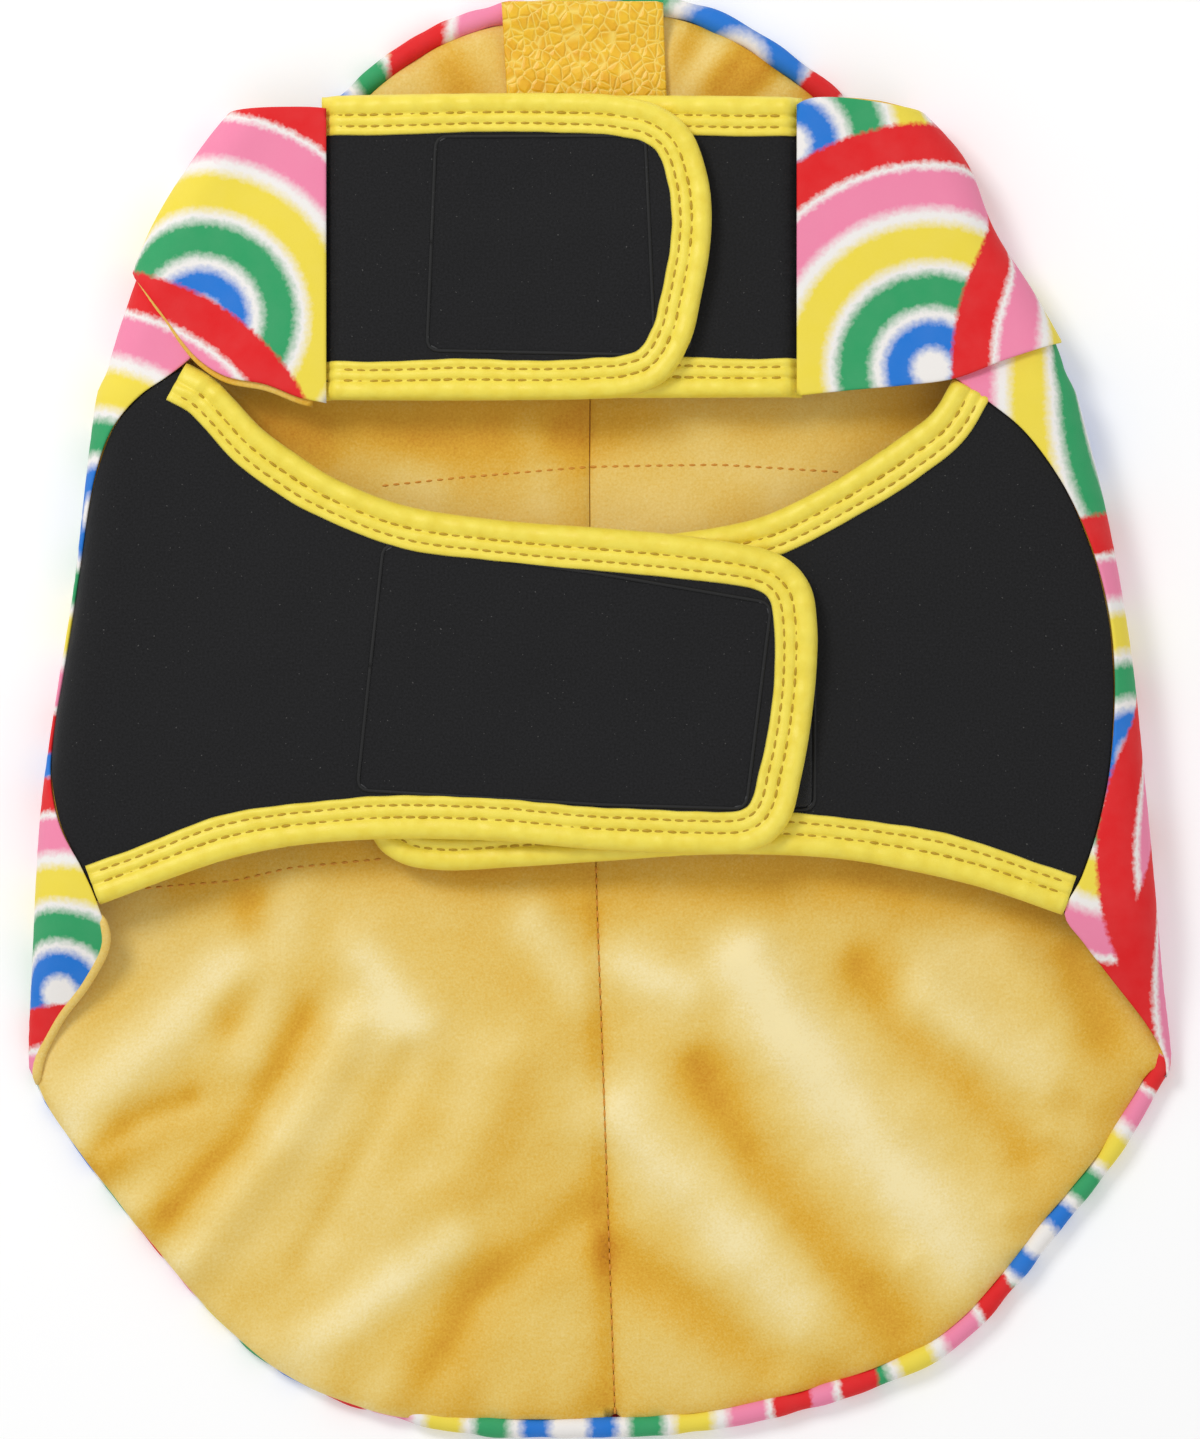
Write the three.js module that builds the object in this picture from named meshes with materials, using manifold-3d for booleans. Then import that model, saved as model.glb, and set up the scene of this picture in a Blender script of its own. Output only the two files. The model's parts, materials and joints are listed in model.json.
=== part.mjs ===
// A dog coat lying on its back with its straps closed, in millimetres, +Z up.
// +Y runs towards the neck, +X to the right as seen from above. The back of the coat lies on z = 0
// and its two sides fold up and over. Two pairs of straps close across the middle: the chest tabs
// below the neck, and the belly wings behind the front legs. The left strap of each pair lies on
// the right one and holds by hook and loop.
// Plan outlines are drawn in a side frame whose x points outwards from the centre line, so the
// left and the right side of the coat come from the same functions.
import * as THREE from "three";
import { mergeVertices } from "three/addons/utils/BufferGeometryUtils.js";
import Module from "manifold-3d";

const wasm = await Module();
wasm.setup();

// ---------- Driving dimensions ----------

const gap = 0.3; // between pieces that are sewn together or lie on each other
const hingeGap = 0.8; // across the line where a strap bends

// Heights along the coat are measured down from the neck edge.
const coat = {
  length: 422,
  shoulderDown: 37, // top of the shoulders
  armDown: 116, // the leg openings
  waistDown: 211,
  hipDown: 315, // end of the folded sides, start of the rounded hem
  waistHalfWidth: 157,
  hipHalfWidth: 166.3,
};

const shellThickness = 1.2;
const waddingThickness = 3;
const liningThickness = 1.5;

const foldRadius = 11.5; // outer radius of the folded sides
const hipFoldRadius = 4; // the fold flattens towards the hem
const sideFlat = 4.5; // part of a side that lies on the ground, before its fold
const flapWidth = 12.5; // flat part of a side that lies on top, at the ends of the belly seam
const flapWidthMiddle = 1; // the same, halfway down the belly seam
const flapWidthHip = 2; // and where the fold ends

const neckHalfWidth = 77;
const neckBandWidth = 6;
const hemBandWidth = 5;

const neoprene = 3;
const bindingWall = 1; // binding cloth on each face and round the edge of the neoprene
const bindingWidth = 11.5;
const cornerLength = bindingWidth + 7.5; // of the rounded strap corners, along each edge
const padThickness = 0.7; // hook and loop tape
const padMargin = 1.5; // between a pad and the binding

const chest = {
  topDown: 32.5,
  height: 88.3,
  overlap: 85, // of the two tabs
  tipLean: 3, // the tip slants in towards its lower corner
  padLength: 61,
  padFromTip: 19,
};

const belly = {
  seamTopDown: 117,
  seamBottomDown: 268,
  edgeInset: 3, // the bound edges start this far inside the ends of the seam
  upperDown: 157.6, // bound edges where they cross the centre line
  lowerDown: 250,
  tipTopDown: 162.5,
  tipBottomDown: 251,
  overlap: 125, // of the two wings
  // Points on the bound edges: shares of the way out to the seam, and of the way from the height
  // at the centre line to the height at the seam.
  lowerCurve: [[0.77, 0.22], [0.45, -0.11], [0, 0]],
  upperCurve: [[0, 0], [0.49, 0.17], [0.75, 0.54]],
  tipLean: 5,
  padLength: 105,
  padHeight: 53,
  padFromTip: 20,
};

const shoulderRise = 8; // the lower shoulder edge rises from the chest tab to the fold

const neckTab = { width: 46.5, centreX: -4.5, length: 62, thickness: 1.8 };

// The left strap of each pair is on top. A shoulder lies flat between the chest tab and the flap
// of its side, and arm is the half width at the leg opening.
const left = { name: "left", sign: -1, onTop: true, shoulderFlat: 1.7, arm: 145, chestSeam: 78.3 };
const right = { name: "right", sign: 1, onTop: false, shoulderFlat: 11.5, arm: 139, chestSeam: 56.5 };

// ---------- Sizes worked out from them ----------

const neckY = coat.length / 2;
const down = (distance) => neckY - distance;
const shoulderY = down(coat.shoulderDown);
const hipY = down(coat.hipDown);
const hemY = -neckY;

const shellZ = [0, shellThickness];
const waddingZ = [shellZ[1] + gap, shellZ[1] + gap + waddingThickness];
const liningZ = [waddingZ[1] + gap, waddingZ[1] + gap + liningThickness];
const stack = liningZ[1];

const foldTop = 2 * foldRadius;
const bindingThickness = neoprene + 2 * bindingWall;
const strapLevel = foldTop - bindingThickness / 2; // middle of a strap at its seam
const hingeClearance = 0.2;
const hingeZ = foldTop + hingeClearance; // a strap bends about a line just above it
const shellRange = [0, shellThickness]; // distances into the cloth from its outer face
const liningRange = [shellThickness + gap, shellThickness + gap + liningThickness];

const chestTop = down(chest.topDown);
const chestBottom = chestTop - chest.height;
const chestCentre = (right.chestSeam - left.chestSeam) / 2;
const seamTop = down(belly.seamTopDown);
const seamBottom = down(belly.seamBottomDown);

// ---------- Materials ----------

const material = (color, roughness) =>
  new THREE.MeshStandardMaterial({ color, roughness, metalness: 0 });

const materials = {
  shell: material(0xd8504a, 0.85),
  wadding: material(0xf2f0ea, 0.95),
  lining: material(0xe0b040, 0.7),
  neoprene: material(0x1b1b1d, 0.75),
  binding: material(0xf0dc50, 0.5),
  tape: material(0x121214, 0.95),
  leather: material(0xecb71f, 0.5),
};

// ---------- Helpers ----------

const at = (x, y) => new THREE.Vector2(x, y);
const { lerp, clamp, smoothstep } = THREE.MathUtils;

// Points of an open path moved sideways, to the left of its direction.
function offset(points, distance) {
  return points.map((p, i) => {
    const before = points[Math.max(i - 1, 0)];
    const after = points[Math.min(i + 1, points.length - 1)];
    const along = after.clone().sub(before).normalize();
    return at(p.x - along.y * distance, p.y + along.x * distance);
  });
}

const mirror = (points, sign) => points.map((p) => at(p.x * sign, p.y));

// A flat plate with the given outline, between two heights.
function plate(points, [low, high]) {
  const geometry = new THREE.ExtrudeGeometry(new THREE.Shape(points), {
    depth: high - low,
    bevelEnabled: false,
  });
  return geometry.translate(0, 0, low);
}

function solid(geometry) {
  const bare = geometry.index ? geometry.toNonIndexed() : geometry.clone();
  bare.deleteAttribute("normal");
  bare.deleteAttribute("uv");
  const merged = mergeVertices(bare, 1e-4);
  return new wasm.Manifold(
    new wasm.Mesh({
      numProp: 3,
      vertProperties: merged.attributes.position.array,
      triVerts: new Uint32Array(merged.index.array),
    }),
  );
}

function geometryOf(manifold) {
  const mesh = manifold.getMesh();
  const geometry = new THREE.BufferGeometry();
  const positions = new Float32Array(mesh.vertProperties);
  geometry.setAttribute("position", new THREE.BufferAttribute(positions, 3));
  geometry.setIndex(new THREE.BufferAttribute(new Uint32Array(mesh.triVerts), 1));
  geometry.computeVertexNormals();
  return geometry;
}

function named(name, kind, geometry) {
  const mesh = new THREE.Mesh(geometry, materials[kind]);
  mesh.name = name;
  return mesh;
}

// ---------- Outline of the coat, in the side frame ----------

const edgePoints = 90; // on the whole outer edge of a side
const hemPointCount = 20;
const neckPointCount = 28;

// Outer edge of the folded side, from the shoulder to the hip.
for (const side of [left, right]) {
  const shoulderX = side.chestSeam + side.shoulderFlat + flapWidth + foldRadius;
  side.foldedEdge = new THREE.SplineCurve([
    at(shoulderX, shoulderY),
    at(side.arm, down(coat.armDown)),
    at(coat.waistHalfWidth, down(coat.waistDown)),
    at(coat.hipHalfWidth, hipY),
  ]).getPoints(edgePoints);
}

function foldedX(side, y) {
  const edge = side.foldedEdge;
  const next = edge.findIndex((p) => p.y <= y);
  if (next <= 0) {
    return edge[next === 0 ? 0 : edge.length - 1].x;
  }
  const [a, b] = [edge[next - 1], edge[next]];
  return lerp(a.x, b.x, (a.y - y) / (a.y - b.y));
}

// 0 at the lower end of the belly seam, 1 where the folded side ends.
const towardsHip = (y) => smoothstep(seamBottom - y, 0, seamBottom - hipY);

const radiusAt = (y) => lerp(foldRadius, hipFoldRadius, towardsHip(y));

// Width of the flat part of a side that lies on top.
function flapAt(y) {
  const t = clamp((seamTop - y) / (seamTop - seamBottom), 0, 1);
  const alongSeam = flapWidth - (flapWidth - flapWidthMiddle) * 4 * t * (1 - t);
  return lerp(alongSeam, flapWidthHip, towardsHip(y));
}

const flapX = (side, y) => foldedX(side, y) - radiusAt(y) - flapAt(y);
const groundX = (side, y) => foldedX(side, y) - radiusAt(y) - sideFlat;

// The folded sides are made of rows across the coat, and their neighbours use the same rows.
const rowCount = 24;
const rows = Array.from({ length: rowCount + 1 }, (_, i) => lerp(hipY, shoulderY, i / rowCount));

// Half of the rounded hem, from the hip to the middle. Each point is a share of the hip's half
// width and a share of the way down to the hem.
const hemShares = [[1, 0], [0.9, 0.25], [0.67, 0.69], [0.36, 0.94], [0, 1]];
const hemCurve = hemShares.map(([out, low]) => at(coat.hipHalfWidth * out, lerp(hipY, hemY, low)));
const hemPoints = new THREE.SplineCurve(hemCurve).getPoints(hemPointCount);

const fullHem = [...mirror(hemPoints, -1), ...hemPoints.slice(0, -1).reverse()];

// The hem moved inwards, from the left hip to the right one.
const hemLine = (inset) => offset(fullHem, inset).map((p) => at(p.x, Math.min(p.y, hipY)));

// Half ellipse of the neckline, from right to left.
function neckline(inset) {
  const height = coat.shoulderDown - inset;
  const curve = new THREE.EllipseCurve(0, shoulderY, neckHalfWidth - inset, height, 0, Math.PI);
  return curve.getPoints(neckPointCount);
}

// ---------- Back of the coat ----------

// Outline of the flat back, cut along the centre line if only one half is wanted.
function backOutline(side) {
  const hem = hemLine(hemBandWidth + gap);
  const neck = neckline(neckBandWidth + gap);
  const edge = (s) => mirror(rows.map((y) => at(groundX(s, y) - gap, y)), s.sign);
  if (!side) {
    return [...hem, ...edge(right), ...neck, ...edge(left).reverse()];
  }
  const own = (p) => p.x * side.sign > gap / 2;
  const onCentre = (p) => at(side.sign * (gap / 2), p.y);
  const hemHalf = hem.filter(own);
  const neckHalf = neck.filter(own);
  if (side === right) {
    return [onCentre(hemHalf[0]), ...hemHalf, ...edge(right), ...neckHalf, onCentre(neckHalf.at(-1))];
  }
  return [...hemHalf, onCentre(hemHalf.at(-1)), onCentre(neckHalf[0]), ...neckHalf, ...edge(left).reverse()];
}

const neckBand = () => plate([...neckline(0), ...neckline(neckBandWidth).reverse()], [0, stack]);
const hemBand = () => plate([...hemLine(0), ...hemLine(hemBandWidth).reverse()], [0, stack]);

// ---------- Folded sides ----------

// Point of a side's cross-section, at a distance into the cloth from its outer face.
// The first step runs along the ground, the last ones along the flap, the rest round the fold.
const foldSteps = 9;
const flapSteps = 2;
const sectionSteps = 1 + foldSteps + flapSteps;

function sectionPoint(side, y, share, depth) {
  const radius = radiusAt(y);
  const centreX = foldedX(side, y) - radius;
  const step = share * sectionSteps;
  if (step < 1) {
    return { x: lerp(groundX(side, y), centreX, step), z: depth };
  }
  const turn = clamp((step - 1) / foldSteps, 0, 1);
  const angle = (turn - 0.5) * Math.PI;
  const flap = clamp((step - 1 - foldSteps) / flapSteps, 0, 1) * flapAt(y);
  return {
    x: centreX - flap + (radius - depth) * Math.cos(angle),
    z: radius + (radius - depth) * Math.sin(angle),
  };
}

function foldedSide(side, [outer, inner]) {
  const geometry = new THREE.BoxGeometry(1, 1, 1, sectionSteps, rowCount, 1);
  const position = geometry.attributes.position;
  for (let i = 0; i < position.count; i++) {
    const share = position.getX(i) + 0.5;
    const row = Math.round((position.getY(i) + 0.5) * rowCount);
    const depth = lerp(outer, inner, position.getZ(i) + 0.5);
    // Rows run the other way on the left side, which keeps its faces pointing out.
    const y = rows[side.sign > 0 ? row : rowCount - row];
    const { x, z } = sectionPoint(side, y, share, depth);
    position.setXYZ(i, side.sign * x, Math.max(y, hipY + gap), z);
  }
  geometry.computeVertexNormals();
  return geometry;
}

// ---------- Shoulders ----------

// The side carries on above the leg opening as a flat shoulder, up to the chest tab.
function shoulder(side, [outer, inner]) {
  const seamX = side.chestSeam + hingeGap / 2;
  const low = chestBottom + gap + shoulderRise;
  const flapRows = rows.filter((y) => y > low && flapX(side, y) - gap > seamX);
  const points = [
    at(seamX, chestBottom + gap),
    at(flapX(side, low) - gap, low),
    ...flapRows.map((y) => at(flapX(side, y) - gap, y)),
    at(seamX, shoulderY),
  ];
  return plate(mirror(points, side.sign), [foldTop - inner, foldTop - outer]);
}

// ---------- Straps ----------

const strapEdgeSteps = 6; // on each stretch of a strap's edge

// A strap is drawn flat around z = 0. Its free edge runs from the lower end of its hinge line,
// round the tip, to the upper end, and keeps the strap on its right.
function strapEdge(start, lower, tip, upper, end) {
  const path = new THREE.Path();
  const corner = tip.top.clone().sub(tip.bottom).setLength(cornerLength);
  const rise = tip.bottom.clone().add(corner);
  const turn = tip.top.clone().sub(corner);
  path.moveTo(start.x, start.y);
  path.splineThru([...lower, at(tip.bottom.x + cornerLength, tip.bottom.y)]);
  path.quadraticCurveTo(tip.bottom.x, tip.bottom.y, rise.x, rise.y);
  path.lineTo(turn.x, turn.y);
  path.quadraticCurveTo(tip.top.x, tip.top.y, tip.top.x + cornerLength, tip.top.y);
  path.splineThru([...upper, end]);
  return path.getPoints(strapEdgeSteps);
}

// Everything beyond the hinge line is cut away, so the edge first runs a little past it.
function pastHinge(points) {
  const beyond = (p, q) => p.clone().add(p.clone().sub(q).setLength(bindingWidth));
  return [beyond(points[0], points[1]), ...points, beyond(points.at(-1), points.at(-2))];
}

// Block that covers everything outside a hinge line.
function beyondHinge(hinge, sign) {
  const size = 2 * coat.length; // more than any strap
  const along = hinge.top.clone().sub(hinge.bottom);
  const block = new THREE.BoxGeometry(size, size, size);
  block.translate(size / 2 - hingeGap / 2, 0, 0);
  block.rotateZ(Math.atan2(-along.x, along.y));
  block.translate(hinge.bottom.x, hinge.bottom.y, 0);
  return solid(sign > 0 ? block : block.rotateY(Math.PI));
}

// Neoprene panel, and the binding that wraps its free edge.
function panelAndBinding(edgePoints, hinge, sign) {
  const edge = pastHinge(edgePoints);
  const outside = beyondHinge(hinge, sign);
  const flat = (points, thickness) =>
    solid(plate(mirror(points, sign), [-thickness / 2, thickness / 2]));
  const panel = flat(offset(edge, -(bindingWall + gap)), neoprene);
  const slot = flat(offset(edge, -bindingWall), neoprene + 2 * gap);
  const band = flat([...edge, ...offset(edge, -bindingWidth).reverse()], bindingThickness);
  return [panel, band.subtract(slot)].map((piece) => geometryOf(piece.subtract(outside)));
}

// Hook tape under a top strap, or loop tape on the strap below it.
function tape(side, tipX, { padFromTip, padLength }, height, middleY) {
  const z = neoprene / 2 + gap + padThickness / 2;
  const x = tipX + padFromTip + padLength / 2;
  const pad = new THREE.BoxGeometry(padLength, height, padThickness);
  return pad.translate(side.sign * x, middleY, side.onTop ? -z : z);
}

// The strap's pieces, hung on its hinge line and tilted so that the two straps lie on each other.
function strap(side, prefix, edge, hinge, tilt, pad) {
  const [panel, binding] = panelAndBinding(edge, hinge, side.sign);
  const origin = new THREE.Vector3(side.sign * hinge.bottom.x, hinge.bottom.y, hingeZ);
  const top = new THREE.Vector3(side.sign * hinge.top.x, hinge.top.y, hingeZ);
  const opening = top.sub(origin).normalize().multiplyScalar(side.sign);
  const padName = side.onTop ? "hook_tape" : "loop_tape";
  const pieces = new THREE.Group();
  pieces.position.set(-origin.x, -origin.y, strapLevel - hingeZ);
  pieces.add(
    named(`${prefix}_${side.name}`, "neoprene", panel),
    named(`${prefix}_${side.name}_binding`, "binding", binding),
    named(`${prefix}_${padName}`, "tape", pad),
  );
  const hung = new THREE.Group();
  hung.position.copy(origin);
  hung.quaternion.setFromAxisAngle(opening, side.onTop ? tilt : -tilt);
  hung.add(pieces);
  return hung;
}

const strapPitch = bindingThickness + gap; // from the lower strap of a pair to the upper one

function chestTab(side) {
  const hinge = { bottom: at(side.chestSeam, chestBottom), top: at(side.chestSeam, chestTop) };
  const span = left.chestSeam + right.chestSeam;
  const tipX = side.chestSeam - (span + chest.overlap) / 2;
  const tip = { bottom: at(tipX + chest.tipLean, chestBottom), top: at(tipX, chestTop) };
  const edge = strapEdge(hinge.bottom, [], tip, [], hinge.top);
  const height = chest.height - 2 * (bindingWidth + padMargin);
  const pad = tape(side, tipX, chest, height, (chestTop + chestBottom) / 2);
  return strap(side, "chest_tab", edge, hinge, Math.asin(strapPitch / span), pad);
}

const bellyHinge = (side) => ({
  bottom: at(flapX(side, seamBottom), seamBottom),
  top: at(flapX(side, seamTop), seamTop),
});

function bellyWing(side) {
  const hinge = bellyHinge(side);
  const along = hinge.top.clone().sub(hinge.bottom).setLength(belly.edgeInset);
  const start = hinge.bottom.clone().add(along);
  const end = hinge.top.clone().sub(along);
  const tipX = -belly.overlap / 2;
  const tip = {
    bottom: at(tipX + belly.tipLean, down(belly.tipBottomDown)),
    top: at(tipX, down(belly.tipTopDown)),
  };
  const { lowerCurve, upperCurve } = belly;
  const lowerY = down(belly.lowerDown);
  const upperY = down(belly.upperDown);
  const lower = lowerCurve.map(([out, rise]) => at(start.x * out, lerp(lowerY, start.y, rise)));
  const upper = upperCurve.map(([out, rise]) => at(end.x * out, lerp(upperY, end.y, rise)));
  const edge = strapEdge(start, lower, tip, upper, end);
  const pad = tape(side, tipX, belly, belly.padHeight, (tip.top.y + tip.bottom.y) / 2);
  const span = flapX(left, seamTop) + flapX(right, seamTop);
  return strap(side, "belly_wing", edge, hinge, Math.asin(strapPitch / span), pad);
}

const narrowestBase = 1.5;

// The part of a belly wing between its curved seam and the straight line where it bends.
function bellyWingBase(side) {
  const hinge = bellyHinge(side);
  const hingeX = (y) => {
    const share = (y - seamBottom) / (seamTop - seamBottom);
    return lerp(hinge.bottom.x, hinge.top.x, share) + hingeGap / 2;
  };
  const seam = rows
    .map((y) => at(flapX(side, y) - gap, y))
    .filter((p) => p.y > seamBottom && p.y < seamTop && p.x > hingeX(p.y) + narrowestBase);
  const bend = [seam.at(-1), seam[0]].map((p) => at(hingeX(p.y), p.y));
  const level = [strapLevel - neoprene / 2, strapLevel + neoprene / 2];
  return plate(mirror([...seam, ...bend], side.sign), level);
}

// ---------- Leather tab inside the neck ----------

function leatherTab() {
  const { width, centreX, length, thickness } = neckTab;
  const tab = new THREE.BoxGeometry(width, length, thickness);
  return tab.translate(centreX, neckY - neckBandWidth - length / 2, stack + gap + thickness / 2);
}

// ---------- Assembly ----------

const dogCoat = new THREE.Group();
dogCoat.name = "dog_coat";
dogCoat.add(
  named("back_shell", "shell", plate(backOutline(), shellZ)),
  named("back_wadding", "wadding", plate(backOutline(), waddingZ)),
  named("neck_band", "shell", neckBand()),
  named("hem_band", "shell", hemBand()),
  named("neck_tab", "leather", leatherTab()),
);
for (const side of [left, right]) {
  dogCoat.add(
    named(`back_lining_${side.name}`, "lining", plate(backOutline(side), liningZ)),
    named(`side_shell_${side.name}`, "shell", foldedSide(side, shellRange)),
    named(`side_lining_${side.name}`, "lining", foldedSide(side, liningRange)),
    named(`shoulder_shell_${side.name}`, "shell", shoulder(side, shellRange)),
    named(`shoulder_lining_${side.name}`, "lining", shoulder(side, liningRange)),
    named(`belly_wing_base_${side.name}`, "neoprene", bellyWingBase(side)),
    chestTab(side),
    bellyWing(side),
  );
}

export default dogCoat;
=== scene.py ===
"""Looks of a dog coat that lies on its back: printed shell, velvet lining, neoprene straps with
stitched yellow binding, and a leather tab. Lengths are in millimetres until a mesh is made.
x points right, y towards the neck and z up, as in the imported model. Pieces of one side are worked
out in a side frame whose x points outwards, and its sign mirrors them."""

import json
import math

import bmesh
import bpy
import numpy as np
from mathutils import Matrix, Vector
from mathutils.geometry import delaunay_2d_cdt


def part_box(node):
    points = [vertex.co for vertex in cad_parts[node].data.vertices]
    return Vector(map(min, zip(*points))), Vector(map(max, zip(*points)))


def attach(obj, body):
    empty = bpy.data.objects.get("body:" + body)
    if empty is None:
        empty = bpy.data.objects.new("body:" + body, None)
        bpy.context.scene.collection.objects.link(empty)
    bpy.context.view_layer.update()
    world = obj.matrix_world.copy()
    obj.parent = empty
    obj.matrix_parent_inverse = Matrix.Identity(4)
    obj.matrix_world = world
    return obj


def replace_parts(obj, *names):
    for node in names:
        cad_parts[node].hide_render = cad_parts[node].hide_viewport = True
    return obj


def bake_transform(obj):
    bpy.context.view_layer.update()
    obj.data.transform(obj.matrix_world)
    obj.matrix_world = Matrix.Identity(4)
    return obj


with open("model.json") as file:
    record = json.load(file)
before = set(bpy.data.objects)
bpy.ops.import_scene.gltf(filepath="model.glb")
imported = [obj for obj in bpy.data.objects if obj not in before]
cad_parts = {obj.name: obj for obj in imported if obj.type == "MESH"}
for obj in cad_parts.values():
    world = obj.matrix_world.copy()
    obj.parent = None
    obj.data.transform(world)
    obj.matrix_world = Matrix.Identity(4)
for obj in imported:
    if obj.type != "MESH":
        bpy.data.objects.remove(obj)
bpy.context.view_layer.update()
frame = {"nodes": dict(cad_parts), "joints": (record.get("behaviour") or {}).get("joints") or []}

MM = 0.001
rng = np.random.default_rng(7)


# ---------- Sizes from the frame ----------


def mm_box(node):
    low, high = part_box(node)
    return np.array(low) / MM, np.array(high) / MM


FOLD_RADIUS = mm_box("side_shell_left")[1][2] / 2
LINING_TOP = mm_box("back_lining_left")[1][2]
HIP_Y = mm_box("hem_band")[1][1]
SHOULDER_Y = mm_box("side_shell_left")[1][1]
CLOTH = 1.2  # thicknesses
VELVET = 2.0
NEOPRENE = 3.0


class Hinge:
    """A strap's hinge line, from the frame. distance() is measured from it towards the strap's tip."""

    def __init__(self, joint_name):
        joint = next(j for j in frame["joints"] if j["name"] == joint_name)
        self.point = np.array(joint["pos_m"]) / MM
        axis = np.array(joint["axis"])
        self.inward = np.array([-axis[1], axis[0]])
        self.child = joint["child"]

    def distance(self, x, y):
        return (x - self.point[0]) * self.inward[0] + (y - self.point[1]) * self.inward[1]

    def blend(self, piece, before, after):
        """Works out the two points past the hinge line between which the piece would turn with the strap,
        but uses neither; it only bakes the piece's transform into its mesh.
        """
        start, end = (self.point[:2] + self.inward * d for d in (before, after))
        start, end = ([*(p * MM), self.point[2] * MM] for p in (start, end))
        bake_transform(piece)


# ---------- Curves and fields ----------


def resample(curve, spacing):
    step = np.linalg.norm(np.diff(curve, axis=0), axis=1)
    along = np.concatenate([[0], np.cumsum(step)])
    count = max(2, int(round(along[-1] / spacing)) + 1)
    even = np.linspace(0, along[-1], count)
    return np.stack([np.interp(even, along, curve[:, k]) for k in range(curve.shape[1])], 1)


SPLINE_STEPS = 40
CORNER_STEPS = 13


def spline(points, spacing=2.0):
    """Smooth open curve through the points, in even steps."""
    p = np.array(points, float)
    t = np.concatenate([[0], np.cumsum(np.linalg.norm(np.diff(p, axis=0), axis=1) ** 0.5)])
    slope = np.gradient(p, t, axis=0) if len(p) > 2 else np.repeat([(p[1] - p[0]) / t[1]], 2, 0)
    fine = np.linspace(0, t[-1], SPLINE_STEPS * len(p))
    i = np.clip(np.searchsorted(t, fine, side="right") - 1, 0, len(p) - 2)
    h = (t[i + 1] - t[i])[:, None]
    s = (fine[:, None] - t[i][:, None]) / h
    curve = (2 * s**3 - 3 * s**2 + 1) * p[i] + (s**3 - 2 * s**2 + s) * h * slope[i]
    curve = curve + (3 * s**2 - 2 * s**3) * p[i + 1] + (s**3 - s**2) * h * slope[i + 1]
    return resample(curve, spacing)


def rounded(points, radius, spacing=1.5):
    """Open path with straight runs and round corners."""
    p = [np.array(q, float) for q in points]
    path = [p[0]]
    for a, b, c in zip(p, p[1:], p[2:]):
        to_a, to_c = (q - b for q in (a, c))
        to_a, to_c = to_a / np.linalg.norm(to_a), to_c / np.linalg.norm(to_c)
        for s in np.linspace(0, 1, CORNER_STEPS):
            path.append(b + radius * ((1 - s) ** 2 * to_a + s**2 * to_c))
    return resample(np.array([*path, p[-1]]), spacing)


def unit(vectors):
    return vectors / np.linalg.norm(vectors, axis=1)[:, None]


def side_normals(path):
    """Unit normals to the right of a 2-D path's direction."""
    t = unit(np.gradient(path, axis=0))
    return np.stack([t[:, 1], -t[:, 0]], 1)


def across(t):
    """Unit vectors beside and above 3-D directions."""
    side = unit(np.cross(t, [0, 0, 1.0]))
    return side, np.cross(side, t)


def smooth(t):
    t = np.clip(t, 0, 1)
    return t * t * (3 - 2 * t)


def rounding(d, radius):
    """0 at an edge, 1 beyond radius, as a quarter circle."""
    return np.sqrt(np.clip(1 - (1 - np.clip(d / radius, 0, 1)) ** 2, 0, 1))


WAVE_COUNT = 7


def waves(x, y, size, seed):
    """Soft random field between about -1 and 1, with features of the given size."""
    g = np.random.default_rng(seed)
    total = 0
    for _ in range(WAVE_COUNT):
        angle, phase = g.uniform(0, 2 * math.pi, 2)
        k = 2 * math.pi / (size * g.uniform(0.7, 1.6))
        total = total + np.sin(k * (math.cos(angle) * x + math.sin(angle) * y) + phase)
    return 2 * total / WAVE_COUNT


def streaks(x, y, items):
    """Sum of soft elongated bumps. Each item is its amount, its half width and a list of points."""
    total = np.zeros_like(x)
    for amount, width, points in items:
        near = np.full_like(x, 1e9)
        for (ax, ay), (bx, by) in zip(points, points[1:]):
            dx, dy = bx - ax, by - ay
            t = np.clip(((x - ax) * dx + (y - ay) * dy) / (dx * dx + dy * dy), 0, 1)
            near = np.minimum(near, (x - ax - t * dx) ** 2 + (y - ay - t * dy) ** 2)
        total += amount * np.exp(-near / width**2)
    return total


def level(z):
    """The same height everywhere."""
    return lambda x, y: z


# ---------- Meshes ----------


def make_mesh(name, verts, faces, material, attributes=None):
    """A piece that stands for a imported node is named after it, with _sewn added."""
    if name in frame["nodes"]:
        name += "_sewn"
    mesh = bpy.data.meshes.new(name)
    mesh.from_pydata((np.asarray(verts) * MM).tolist(), [], faces)
    for key, values in (attributes or {}).items():
        values = np.asarray(values, np.float32)
        kind = "FLOAT" if values.ndim == 1 else "FLOAT_VECTOR"
        layer = mesh.attributes.new(key, kind, "POINT")
        layer.data.foreach_set("value" if kind == "FLOAT" else "vector", values.ravel())
    bm = bmesh.new()
    bm.from_mesh(mesh)
    bmesh.ops.recalc_face_normals(bm, faces=bm.faces)
    bm.to_mesh(mesh)
    bm.free()
    mesh.polygons.foreach_set("use_smooth", [True] * len(mesh.polygons))
    mesh.materials.append(material)
    piece = bpy.data.objects.new(name, mesh)
    bpy.context.scene.collection.objects.link(piece)
    return piece


def edge_distance(x, y, outline, closed=True):
    """Distance from points to an outline."""
    near = np.full(x.shape, 1e9)
    ends = np.roll(outline, -1, axis=0) if closed else outline[1:]
    for a, b in zip(outline, ends):
        d = b - a
        t = np.clip(((x - a[0]) * d[0] + (y - a[1]) * d[1]) / max(d @ d, 1e-9), 0, 1)
        near = np.minimum(near, np.hypot(x - a[0] - t * d[0], y - a[1] - t * d[1]))
    return near


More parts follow.
